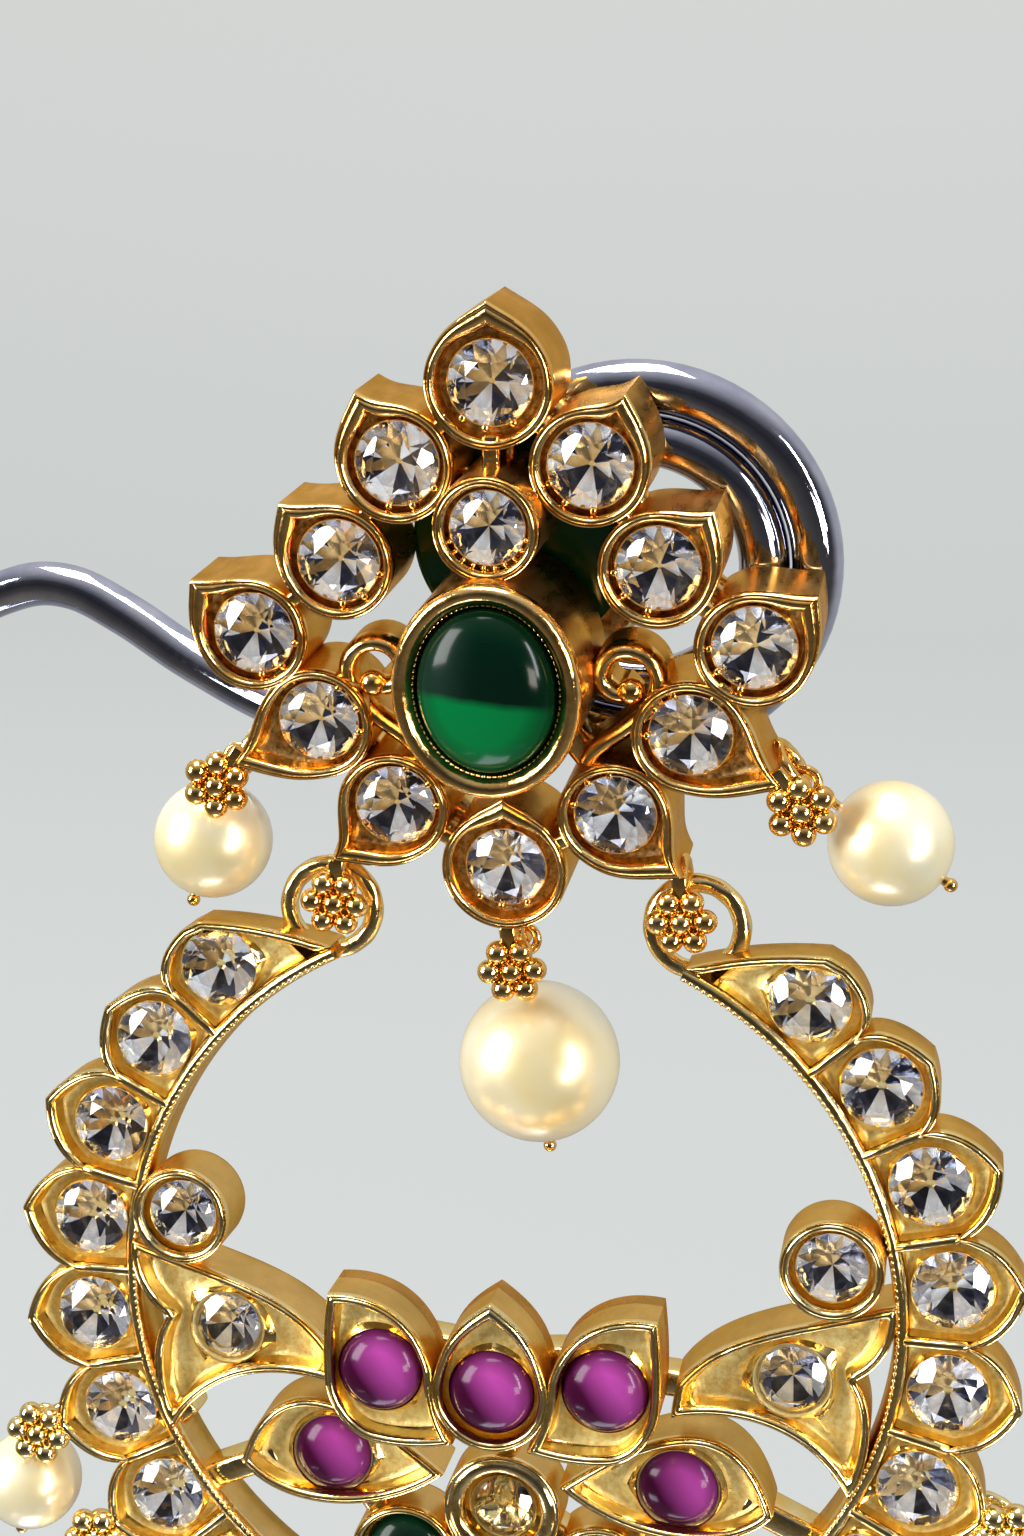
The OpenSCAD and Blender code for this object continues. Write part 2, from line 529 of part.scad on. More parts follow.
// Bars behind the motif, ends in tenths of the ring's inner radius: wing to bead, wing to ring,
// leaf to ring, crown to wing, crown to leaf
ties = [
    [[8.6, 0.3], [8.5, 1.4]],
    [[8.8, -3.8], [9.5, -4.6]],
    [[6.3, -5.1], [8.3, -6.0]],
    [[3.6, -1.9], [5.2, -2.0]],
    [[1.9, -2.8], [3.1, -4.4]]];

module crescent_solid() {
    difference() {
        plate(-rim_rise, crescent_back) polygon(ring_outline);
        along_y(-rim_rise - 1, crescent_back + 1, crescent_r);
    }
    plate(-crown_front, crown_back) {
        at(crown_mid_at) polygon(crown_mid);
        mirrored() polygon(crown_side);
    }
    for (p = [crown_mid_at, crown_side_at, [-crown_side_at[0], crown_side_at[1]]])
        translate([p[0], 0, p[1]]) along_y(crown_back - bite, crescent_back - bite, stem_r);
    mirrored() {
        translate([bead_at[0], 0, bead_at[1]]) along_y(-bead_front, bead_back, bead_r);
        plate(-wing_front, crescent_back - 2 * bite) polygon(wing_line);
        plate(-leaf_front, crescent_back - 3 * bite) polygon(leaf_line);
        plate(-rim_rise - 0.1, crescent_back - bite) at(emerald_at) polygon(emerald_outline);
        translate([loop_x, hang_y, ring_drop - loop_r]) flat_loop(loop_r, loop_wire);
        plate(0, crescent_back - bite) {
            for (q = ties) bar(q[0] * tenth, q[1] * tenth, web_w);
            bar(crown_mid_at, crown_side_at, web_w);
            bar(centre_at, emerald_at, web_w);
            bar(emerald_at, leaf_at, web_w);
            bar(drop_at, emerald_at, web_w);
            bar(bead_at, bead_at * (crescent_r + crescent_rim) / norm(bead_at), web_w);
            bar(emerald_at, polar(crescent_r + crescent_rim / 2, 151), web_w);
        }
    }
    translate([centre_at[0], 0, centre_at[1]]) along_y(-centre_front, crescent_back - bite, centre_r);
    plate(-rim_rise, crescent_back - bite) at(drop_at) polygon(drop_outline);
    plate(0, crescent_back - bite) {
        bar(crown_mid_at, centre_at, web_w);
        bar(centre_at, [0, -crescent_r - crescent_rim / 2], web_w);
    }
    for (i = [edge_first:edge_last]) rotate([0, cell_angle(i) - 180, 0]) translate([0, 0, -edge_tip_r(i)])
        rosette(edge_eye_out, edge_rosette_out);
}
module crescent_cavities() {
    for (i = [1:cell_count - 2]) plate(-rim_rise - 1, floor_y) polygon(cell_outline(i));
    mirrored() plate(-rim_rise - 1, floor_y) polygon(end_cell_outline());
    for (i = [0:cell_count - 1]) rotate([0, cell_angle(i), 0]) translate([0, 0, cell_r]) stone_seat(stone_d);
    translate([0, -crown_proud, 0]) plate(-rim_rise - 1, floor_y) {
        at(crown_mid_at) polygon(crown_mid_in);
        at(crown_mid_at) circle(r = colour_stone_d / 2 + clear, $fn = 48);
    }
    mirrored() {
        translate([0, -crown_proud, 0]) plate(-rim_rise - 1, floor_y) {
            polygon(drawn_in(crown_side, rim_w));
            at(crown_side_at) circle(r = colour_stone_d / 2 + clear, $fn = 48);
        }
        translate([bead_at[0], -bead_proud, bead_at[1]]) {
            along_y(-rim_rise - 1, floor_y, bead_r - rim_w);
            stone_seat(small_stone_d);
        }
        plate(-wing_front - 1, floor_y) polygon(drawn_in(wing_line, rim_w));
        translate([wing_at[0], 0, wing_at[1]]) stone_seat(stone_d);
        plate(-leaf_front - 1, floor_y) {
            polygon(drawn_in(leaf_line, rim_w));
            at(leaf_at) circle(r = colour_stone_d / 2 + clear, $fn = 48);
        }
        plate(-rim_rise - 1, floor_y) at(emerald_at) {
            polygon(emerald_hollow);
            circle(r = colour_stone_d / 2 + clear, $fn = 48);
        }
    }
    translate([centre_at[0], 0, centre_at[1]]) {
        along_y(-centre_front - 1, floor_y, centre_r - rim_w);
        stone_seat(small_stone_d);
    }
    plate(-rim_rise - 1, floor_y) at(drop_at) polygon(drop_hollow);
    translate([drop_at[0], 0, drop_at[1]]) stone_seat(stone_d);
}
module crescent_frame() color("goldenrod") crescent_place() difference() {
    crescent_solid();
    crescent_cavities();
}

module ring_stones(from, to) color("whitesmoke") crescent_place() for (i = [from:to])
    rotate([0, cell_angle(i), 0]) translate([0, 0, cell_r]) brilliant(stone_d);
module set_stone(p, proud, d) color("whitesmoke") crescent_place() translate([p[0], -proud, p[1]]) brilliant(d);
module set_cabochon(p, proud, tint) color(tint) crescent_place()
    translate([p[0], floor_y - proud - clear - seat_depth, p[1]])
    cabochon(colour_stone_d / 2, colour_stone_d / 2, stone_dome, seat_depth);

module edge_hang(i) {
    e = edge_hook(i);
    crescent_place() translate([e[0], eye_y, e[1]]) rotate([0, edge_swing(i), 0]) children();
}
module edge_pearls() color("ivory") for (i = [edge_first:edge_last]) edge_hang(i) pearl(edge_drop, edge_pearl_d);
module edge_pins() color("goldenrod") for (i = [edge_first:edge_last]) edge_hang(i) pin(edge_drop, edge_pearl_d);

// Smooth curve through the route's points, then a round wire swept along it
route_split = 3;
function smooth(p, k, t) = let (a = p[max(k - 1, 0)], b = p[k], c = p[k + 1], d = p[min(k + 2, len(p) - 1)])
    0.5 * (2 * b + (c - a) * t + (2 * a - 5 * b + 4 * c - d) * t * t + (3 * b - a - 3 * c + d) * t * t * t);
arm_points = [for (k = [0:len(arm_route)]) for (j = [0:route_split - 1]) smooth(route, k, j / route_split)];
wire_points = concat(arm_points, coil_points);
wire_sides = 12;
function tangent(p, k) = let (d = p[min(k + 1, len(p) - 1)] - p[max(k - 1, 0)]) d / norm(d);
function across(v, t) = let (w = v - (v * t) * t) w / norm(w);
module swept_wire(p, d) {
    n = len(p);
    normals = [for (k = 0, v = across([1, 0, 0], tangent(p, 0)); k < n;
                    k = k + 1, v = k < n ? across(v, tangent(p, k)) : v) v];
    points = [for (k = [0:n - 1]) let (u = normals[k], w = cross(tangent(p, k), u))
        for (s = [0:wire_sides - 1]) p[k] + d / 2 * (u * cos(360 * s / wire_sides) + w * sin(360 * s / wire_sides))];
    faces = concat(
        [[for (s = [0:wire_sides - 1]) s]],
        [for (k = [0:n - 2]) for (s = [0:wire_sides - 1]) let (q = (s + 1) % wire_sides)
            [k * wire_sides + s, (k + 1) * wire_sides + s, (k + 1) * wire_sides + q, k * wire_sides + q]],
        [[for (s = [0:wire_sides - 1]) n * wire_sides - 1 - s]]);
    polyhedron(points, faces);
}
module stand_wire() color("silver") swept_wire(wire_points, wire_d);
module stand_foot() color("silver") difference() {
    cylinder(h = foot_t, d = foot_d, $fn = 96);
    translate([leg_at[0], leg_at[1], foot_t - leg_seat]) cylinder(h = leg_seat + 1, d = wire_d + 2 * clear, $fn = 32);
}

stand_foot();
stand_wire();
stud_frame();
ear_post();
emerald_oval();
stone_round();
for (n = [1:12]) stone_petal(n);
pearl_left();
pearl_middle();
pearl_right();
pin_left();
pin_middle();
pin_right();
crescent_frame();
ring_stones((cell_count + 1) / 2, cell_count - 1);  // crescent_stones_left
ring_stones(0, (cell_count - 1) / 2);  // crescent_stones_right
set_stone([-bead_at[0], bead_at[1]], bead_proud, small_stone_d);  // stone_bead_left
set_stone(bead_at, bead_proud, small_stone_d);  // stone_bead_right
set_stone([-wing_at[0], wing_at[1]], 0, stone_d);  // stone_wing_left
set_stone(wing_at, 0, stone_d);  // stone_wing_right
set_stone(centre_at, 0, small_stone_d);  // stone_centre
set_stone(drop_at, 0, stone_d);  // stone_drop
set_cabochon([-crown_side_at[0], crown_side_at[1]], crown_proud, "purple");  // ruby_crown_left
set_cabochon(crown_mid_at, crown_proud, "purple");  // ruby_crown_middle
set_cabochon(crown_side_at, crown_proud, "purple");  // ruby_crown_right
set_cabochon([-leaf_at[0], leaf_at[1]], 0, "purple");  // ruby_leaf_left
set_cabochon(leaf_at, 0, "purple");  // ruby_leaf_right
set_cabochon([-emerald_at[0], emerald_at[1]], 0, "darkgreen");  // emerald_left
set_cabochon(emerald_at, 0, "darkgreen");  // emerald_right
edge_pearls();
edge_pins();
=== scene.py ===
"""Looks of a chandbali earring on a chrome wire stand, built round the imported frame.

Shapes are worked out in millimetres on numpy grids and put into meshes in metres, in the frame's
own axes: +Z up, the front towards -Y, the foot's underside on the floor.
"""

from __future__ import annotations

import logging
from dataclasses import dataclass, replace
from enum import IntEnum

import bmesh
import bpy
import numpy as np
from mathutils import Matrix

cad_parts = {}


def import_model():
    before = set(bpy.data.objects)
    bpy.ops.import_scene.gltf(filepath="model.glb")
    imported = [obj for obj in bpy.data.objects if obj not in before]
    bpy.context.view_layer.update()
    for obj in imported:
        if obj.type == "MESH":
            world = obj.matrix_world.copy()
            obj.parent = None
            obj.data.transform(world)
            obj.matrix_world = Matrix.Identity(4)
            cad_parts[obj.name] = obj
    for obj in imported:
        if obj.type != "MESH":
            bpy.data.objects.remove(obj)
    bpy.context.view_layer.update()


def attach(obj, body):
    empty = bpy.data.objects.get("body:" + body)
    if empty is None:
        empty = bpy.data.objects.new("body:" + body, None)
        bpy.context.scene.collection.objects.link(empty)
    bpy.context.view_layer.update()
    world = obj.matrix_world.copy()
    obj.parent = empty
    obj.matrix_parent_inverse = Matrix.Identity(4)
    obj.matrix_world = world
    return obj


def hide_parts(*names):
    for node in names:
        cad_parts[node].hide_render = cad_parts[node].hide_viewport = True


LOG = logging.getLogger("chandbali")
MM = 0.001
Array = np.ndarray
Pair = tuple[float, float]
Triple = tuple[float, float, float]
Material = bpy.types.Material
Socket = bpy.types.NodeSocket


class Finish(IntEnum):
    """Places of the three gold finishes in a casting's list of materials."""

    POLISH = 0
    WALL = 1
    FLOOR = 2


Rows = list[tuple[float | Array, float, Finish]]


# Outlines and surfaces


@dataclass
class Patch:
    """A piece of surface: points in mm, faces of four corners and each face's finish."""

    points: Array
    faces: Array
    finish: Array


def unit(degrees: float | Array) -> Array:
    """Unit vectors (x, z) at angles counted from +X towards +Z."""
    a = np.radians(degrees)
    return np.stack([np.cos(a), np.sin(a)], axis=-1)


def polar(radius: float | Array, degrees: float | Array) -> Array:
    """Points (x, z) at a radius and at angles counted clockwise from the top."""
    a = np.radians(degrees)
    return np.stack([radius * np.sin(a), radius * np.cos(a)], axis=-1)


def turns(n: int) -> Array:
    """The n even steps of a full turn, in radians."""
    return np.linspace(0, 2 * np.pi, n, endpoint=False)


def xyz(x: float | Array, y: float | Array, z: float | Array) -> Array:
    """Coordinates of matching shapes put together to points (..., 3)."""
    return np.stack(np.broadcast_arrays(x, y, z), axis=-1)


def lifted(flat: Array, y: float | Array) -> Array:
    """Points (..., 2) of x and z set at the depth y, as (..., 3)."""
    return xyz(flat[..., 0], y, flat[..., 1])


def bezier(a: Array, b: Array, c: Array, d: Array, t: Array) -> Array:
    """Cubic curve from a to d that leaves towards b and arrives from c, at the parameters t."""
    t = np.asarray(t, float)[:, None]
    return a * (1 - t) ** 3 + 3 * b * t * (1 - t) ** 2 + 3 * c * t**2 * (1 - t) + d * t**3


def teardrop(radius: float, tip: Array | tuple, first: Pair, last: Pair) -> Array:
    """Closed outline of an arc and two curved flanks that meet in a point.

    The arc has its middle at the origin. A flank leaves it along the tangent at its start angle
    and arrives at the tip in its arriving direction, as one cubic curve. Its handles are a share
    of its straight length, and its points lie closer together near the tip.

    Args:
        radius: radius of the arc.
        tip: x and z of the point.
        first: start angle and arriving direction of the flank met first, going anticlockwise.
        last: the same of the other flank.

    Returns:
        Points (n, 2), anticlockwise.
    """
    arc_points, flank_points, handle, ease = 56, 20, 0.42, 1.6
    tip = np.asarray(tip, float)
    p1, p2 = radius * unit(first[0]), radius * unit(last[0])
    h1, h2 = handle * np.linalg.norm(tip - p1), handle * np.linalg.norm(tip - p2)
    t = np.linspace(0, 1, flank_points + 1)
    one = bezier(p1, p1 + h1 * unit(first[0] + 90), tip - h1 * unit(first[1]), tip, 1 - (1 - t[1:]) ** ease)
    two = bezier(tip, tip - h2 * unit(last[1]), p2 + h2 * unit(last[0] - 90), p2, t[1:-1] ** ease)
    return np.concatenate([radius * unit(np.linspace(last[0], first[0] + 360, arc_points)), one, two])


def ellipse(a: float, b: float, n: int) -> Array:
    """Points (n, 2) of an ellipse with half axes a and b."""
    t = turns(n)
    return np.stack([a * np.cos(t), b * np.sin(t)], axis=-1)


def even(line: Array, n: int) -> Array:
    """A closed outline (m, 2) resampled to n points at equal steps along its length."""
    p = np.vstack([line, line[:1]])
    s = np.concatenate([[0], np.cumsum(np.linalg.norm(np.diff(p, axis=0), axis=1))])
    want = np.linspace(0, s[-1], n, endpoint=False)
    return np.stack([np.interp(want, s, p[:, k]) for k in (0, 1)], axis=-1)


def curved(sides: list[tuple], size: float, at: tuple | Array = (0, 0)) -> Array:
    """Closed outline of cubic sides, as 150 points at equal steps.

    Args:
        sides: start, two handles and end of each side.
        size: length in mm that one unit of the sides stands for.
        at: x and z of the outline's own origin.

    Returns:
        Points (150, 2).
    """
    t = np.linspace(0, 1, 40)[:-1]
    line = np.concatenate([bezier(*[np.array(q) for q in side], t) for side in sides])
    return even(line * size + at, 150)


def drawn_in(line: Array, width: float) -> Array:
    """A closed outline drawn in by a width square to its sides.

    Points that would come nearer to another part of the outline than the width are laid on the
    straight line between their good neighbours, so sharp corners stay clean.
    """
    after = np.roll(line, -1, axis=0)
    along = after - np.roll(line, 1, axis=0)
    inward = np.stack([-along[:, 1], along[:, 0]], axis=-1) / np.linalg.norm(along, axis=1)[:, None]
    area = np.sum(line[:, 0] * after[:, 1] - after[:, 0] * line[:, 1])
    shifted = line + np.sign(area) * width * inward
    gap = np.linalg.norm(shifted[:, None] - line[None], axis=-1).min(axis=1)
    good = np.flatnonzero(gap > 0.97 * width)
    n = len(line)
    wrapped = np.concatenate([good - n, good, good + n])
    columns = [np.interp(np.arange(n), wrapped, np.tile(shifted[good, k], 3)) for k in (0, 1)]
    return np.stack(columns, axis=-1)


def grid_patch(grid: Array, finish: int | Array = 0, wrap_u: bool = True, wrap_v: bool = False) -> Patch:
    """A grid of points as a patch.

    Faces go over the grid's cells; u runs along the outline and v across the profile.

    Args:
        grid: points (u, v, 3) in mm.
        finish: one finish, or one for each step of v.
        wrap_u: whether the last u joins the first.
        wrap_v: whether the last v joins the first.

    Returns:
        The patch.
    """
    nu, nv = grid.shape[:2]
    u = np.arange(nu if wrap_u else nu - 1)
    v = np.arange(nv if wrap_v else nv - 1)
    uu, vv = np.meshgrid(u, v, indexing="ij")
    un, vn = (uu + 1) % nu, (vv + 1) % nv
    faces = np.stack([uu * nv + vv, un * nv + vv, un * nv + vn, uu * nv + vn], axis=-1).reshape(-1, 4)
    marks = np.broadcast_to(np.asarray(finish), (len(v),)) if np.ndim(finish) else np.full(len(v), finish)
    return Patch(grid.reshape(-1, 3), faces, np.broadcast_to(marks, uu.shape).reshape(-1))


def join(patches: list[Patch]) -> Patch:
    """Several patches as one."""
    shift = np.cumsum([0] + [len(p.points) for p in patches[:-1]])
    return Patch(np.concatenate([p.points for p in patches]),
                 np.concatenate([p.faces + s for p, s in zip(patches, shift)]),
                 np.concatenate([p.finish for p in patches]))


def welded(patch: Patch) -> Patch:
    """The patch with points that lie on one spot made into one, so that its poles are closed."""
    _, first, place = np.unique(np.round(patch.points, 5), axis=0, return_index=True, return_inverse=True)
    return Patch(patch.points[first], place.reshape(-1)[patch.faces], patch.finish)


def placement(turn: Array, at: Array | tuple) -> Array:
    """The 4 by 4 matrix of a 3 by 3 turn and a place."""
    m = np.eye(4)
    m[:3, :3], m[:3, 3] = turn, at
    return m


def about_x(degrees: float) -> Array:
    """The 3 by 3 turn about the x axis that carries +Y towards +Z."""
    c, s = np.cos(np.radians(degrees)), np.sin(np.radians(degrees))
    return np.array([[1, 0, 0], [0, c, -s], [0, s, c]])


def carried(points: Array | tuple | list, matrix: Array) -> Array:
    """Points (..., 3) carried by a 4 by 4 matrix in mm."""
    return np.asarray(points, float) @ matrix[:3, :3].T + matrix[:3, 3]


def moved(patch: Patch, matrix: Array) -> Patch:
    """The patch carried by a 4 by 4 matrix in mm."""
    return Patch(carried(patch.points, matrix), patch.faces, patch.finish)


def mirrored(patch: Patch) -> Patch:
    """The patch reflected in the plane x = 0, with its faces turned to stay outwards."""
    return Patch(patch.points * [-1, 1, 1], patch.faces[:, ::-1], patch.finish)


def pair(patch: Patch, x: float = 1.0) -> list[Patch]:
    """The patch and, unless its x is 0, its mirror image."""
    return [patch, mirrored(patch)] if x else [patch]


def marked(finish: Finish, *rows: tuple[float | Array, float]) -> Rows:
    """Rows of a profile that all have one finish."""
    return [(k, y, finish) for k, y in rows]


def shell(loops: list[Array], rows: Rows, at: Array | tuple) -> Patch:
    """A closed casting through matching loops.

    A row lies at a share k between loop k and the next one, at its own depth y; past the last
    loop it shrinks to the middle. The rows run from the middle of the back over the rim to the
    middle of the seat, so the shell is closed.

    Args:
        loops: outlines of equal length, from the outermost inwards.
        rows: share k, depth y and finish of each row.
        at: x and z of the middle.

    Returns:
        The patch.
    """
    stack = np.stack(loops + [np.zeros_like(loops[0])])
    k = np.clip([r[0] for r in rows], 0, len(loops))
    low = np.minimum(k.astype(int), len(loops) - 1)
    share = (k - low)[:, None, None]
    flat = stack[low] * (1 - share) + stack[low + 1] * share + np.asarray(at, float)
    grid = lifted(flat, np.array([r[1] for r in rows])[:, None]).transpose(1, 0, 2)
    return grid_patch(grid, np.array([int(r[2]) for r in rows[:-1]]))


def ball(at: tuple | Array, radius: float, sides: int = 20, rings: int = 12) -> Patch:
    """A round bead, as circles of latitude from pole to pole."""
    lat = np.linspace(-np.pi / 2, np.pi / 2, rings + 1)
    lon = turns(sides)[:, None]
    grid = xyz(np.cos(lon) * np.cos(lat), np.sin(lat), -np.sin(lon) * np.cos(lat))
    return grid_patch(grid * radius + np.asarray(at, float))


def grains(spots: Array, y: float, size: float, sides: int = 8, rings: int = 6) -> list[Patch]:
    """Small balls at places of x and z, all at the depth y."""
    return [ball((x, y, z), size, sides, rings) for x, z in spots]


def torus(at: tuple | Array, major: float, minor: float, axis: Array | tuple, sides: int = 48,
          around: int = 16, grain: float = 0.0) -> Patch:
    """A wire ring: a small circle carried round a large one, with slight waves of its thickness.

    Args:
        at: the ring's middle.
        major: radius of the large circle.
        minor: radius of the wire.
        axis: direction of the ring's axis.
        sides: points along the ring.
        around: points round the wire.
        grain: share of the wire's radius by which it waves.

    Returns:
        The patch.
    """
    n = np.asarray(axis, float) / np.linalg.norm(axis)
    u = np.cross(n, [0, 0, 1.0] if abs(n[2]) < 0.9 else [1.0, 0, 0])
    u /= np.linalg.norm(u)
    t, s = turns(sides)[:, None, None], turns(around)[None, :, None]
    out = np.cos(t) * u + np.sin(t) * np.cross(n, u)
    thick = minor * (1 + grain * np.sin(7 * t + 2 * np.cos(3 * s)) * np.cos(5 * t + 1))
    grid = np.asarray(at, float) + out * (major + thick * np.cos(s)) + n * thick * np.sin(s)
    return grid_patch(grid, wrap_v=True)


def sweep(path: Array, radius: Array, sides: int, up: tuple) -> Patch:
    """A round wire along a path, with frames that turn as little as they can, closed at both ends.

    Args:
        path: points (n, 3) in mm.
        radius: the wire's radius at each point.
        sides: points round the wire.
        up: starting direction across the path.

    Returns:
        The patch.
    """
    t = np.gradient(path, axis=0)
    t /= np.linalg.norm(t, axis=1)[:, None]
    normal = np.empty_like(path)
    v = np.asarray(up, float)
    for k, tangent in enumerate(t):
        v = v - tangent * (v @ tangent)
        v /= np.linalg.norm(v)
        normal[k] = v
    a = turns(sides)[:, None]
    around = normal[:, None] * np.cos(a) + np.cross(t, normal)[:, None] * np.sin(a)
    tube = path[:, None] + radius[:, None, None] * around
    ends = [np.broadcast_to(path[k], (1, sides, 3)) for k in (0, -1)]
    return grid_patch(np.concatenate([ends[0], tube, ends[1]]).transpose(1, 0, 2))


def lathe(profile: Array | list, at: tuple | Array = (0, 0, 0), axis: str = "z", sides: int = 64) -> Patch:
    """A turned piece: the profile's radius and height carried round an axis.

    Args:
        profile: (n, 2) of radius and height.
        at: place of the axis's origin.
        axis: "z" for upright or "y" for an axis towards the back.
        sides: steps round.

    Returns:
        The patch.
    """
    a = turns(sides)[:, None]
    r, height = np.asarray(profile, float).T
    x, other = r * np.cos(a), r * np.sin(a)
    grid = xyz(x, other, height) if axis == "z" else xyz(x, height, -other)
    return grid_patch(grid + np.asarray(at, float))


def rounded_bar(a: tuple | Array, b: tuple | Array, width: float, y0: float, y1: float,
                power: float = 4.0) -> Patch:
    """A flat bar with soft edges: a squarish oval cross-section along a straight line.

    Args:
        a: x and z of the start.
        b: x and z of the end.
        width: width of the bar.
        y0: its front.
        y1: its back.
        power: how square the cross-section is.

    Returns:
        The patch.
    """
    a, b = np.asarray(a, float), np.asarray(b, float)
    d = (b - a) / np.linalg.norm(b - a)
    s = turns(24)
    across, deep = [np.sign(q) * np.abs(q) ** (2 / power) * half
                    for q, half in ((np.cos(s), width / 2), (np.sin(s), (y1 - y0) / 2))]
    along = np.array([0, 0, 0.03, 0.3, 0.5, 0.7, 0.97, 1, 1])[:, None]
    size = np.array([0, 0.9, 1, 1, 1, 1, 1, 0.9, 0])[:, None]
    flat = a + (b - a) * along[..., None] + np.array([-d[1], d[0]]) * (across * size)[..., None]
    return grid_patch(lifted(flat, (y0 + y1) / 2 + deep * size).transpose(1, 0, 2))


def make_object(name: str, patches: list[Patch], materials: list[Material],
                matrix: Array | None = None, sharp: float = 60.0) -> bpy.types.Object:
    """A mesh object from patches, with poles merged and all faces turned outwards.

    Args:
        name: the piece's name.
        patches: its surfaces, in mm.
        materials: its materials, in the order of the finishes.
        matrix: placement in mm, or None where the patches are placed already.
        sharp: edges steeper than this angle stay crisp.

    Returns:
        The object, linked to the scene.
    """
    whole = join([welded(p) for p in patches])
    if matrix is not None:
        whole = moved(whole, matrix)
    keep = whole.faces != np.roll(whole.faces, 1, axis=1)
    count = keep.sum(axis=1)
    twisted = (whole.faces[:, 0] == whole.faces[:, 2]) | (whole.faces[:, 1] == whole.faces[:, 3])
    good = (count >= 3) & ~((count == 4) & twisted)
    corners, count = whole.faces[good][keep[good]], count[good]
    mesh = bpy.data.meshes.new(name)
    mesh.vertices.add(len(whole.points))
    mesh.vertices.foreach_set("co", (whole.points * MM).astype(np.float32).ravel())
    mesh.loops.add(len(corners))
    mesh.loops.foreach_set("vertex_index", corners.astype(np.int32))
    mesh.polygons.add(len(count))
    mesh.polygons.foreach_set("loop_start", (np.cumsum(count) - count).astype(np.int32))
    mesh.polygons.foreach_set("material_index", whole.finish[good].astype(np.int32))
    mesh.update(calc_edges=True)
    mesh.validate()
    for material in materials:
        mesh.materials.append(material)
    work = bmesh.new()
    work.from_mesh(mesh)
    bmesh.ops.recalc_face_normals(work, faces=work.faces)
    work.to_mesh(mesh)
    work.free()
    mesh.shade_smooth()
    mesh.set_sharp_from_angle(angle=np.radians(sharp))
    piece = bpy.data.objects.new(name, mesh)
    bpy.context.scene.collection.objects.link(piece)
    LOG.info("%s: %d faces", name, len(mesh.polygons))
    return piece


def dress(name: str, patches: list[Patch], materials: list[Material], body: str, nodes: list[str],
          matrix: Array | None = None, sharp: float = 60.0) -> None:
    """Makes one piece, lets it ride on its body and hands its solids over to it.

    Args:
        name: the piece's name.
        patches: its surfaces, in mm.
        materials: its materials, in the order of the finishes.
        body: the body that it rides on.
        nodes: the solids that it stands for, none for a piece of the looks only.
        matrix: placement in mm, or None where the patches are placed already.
        sharp: edges steeper than this angle stay crisp.
    """
    piece = make_object(name, patches, materials, matrix, sharp)
    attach(piece, body)
    if nodes:
        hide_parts(*nodes)


# Materials


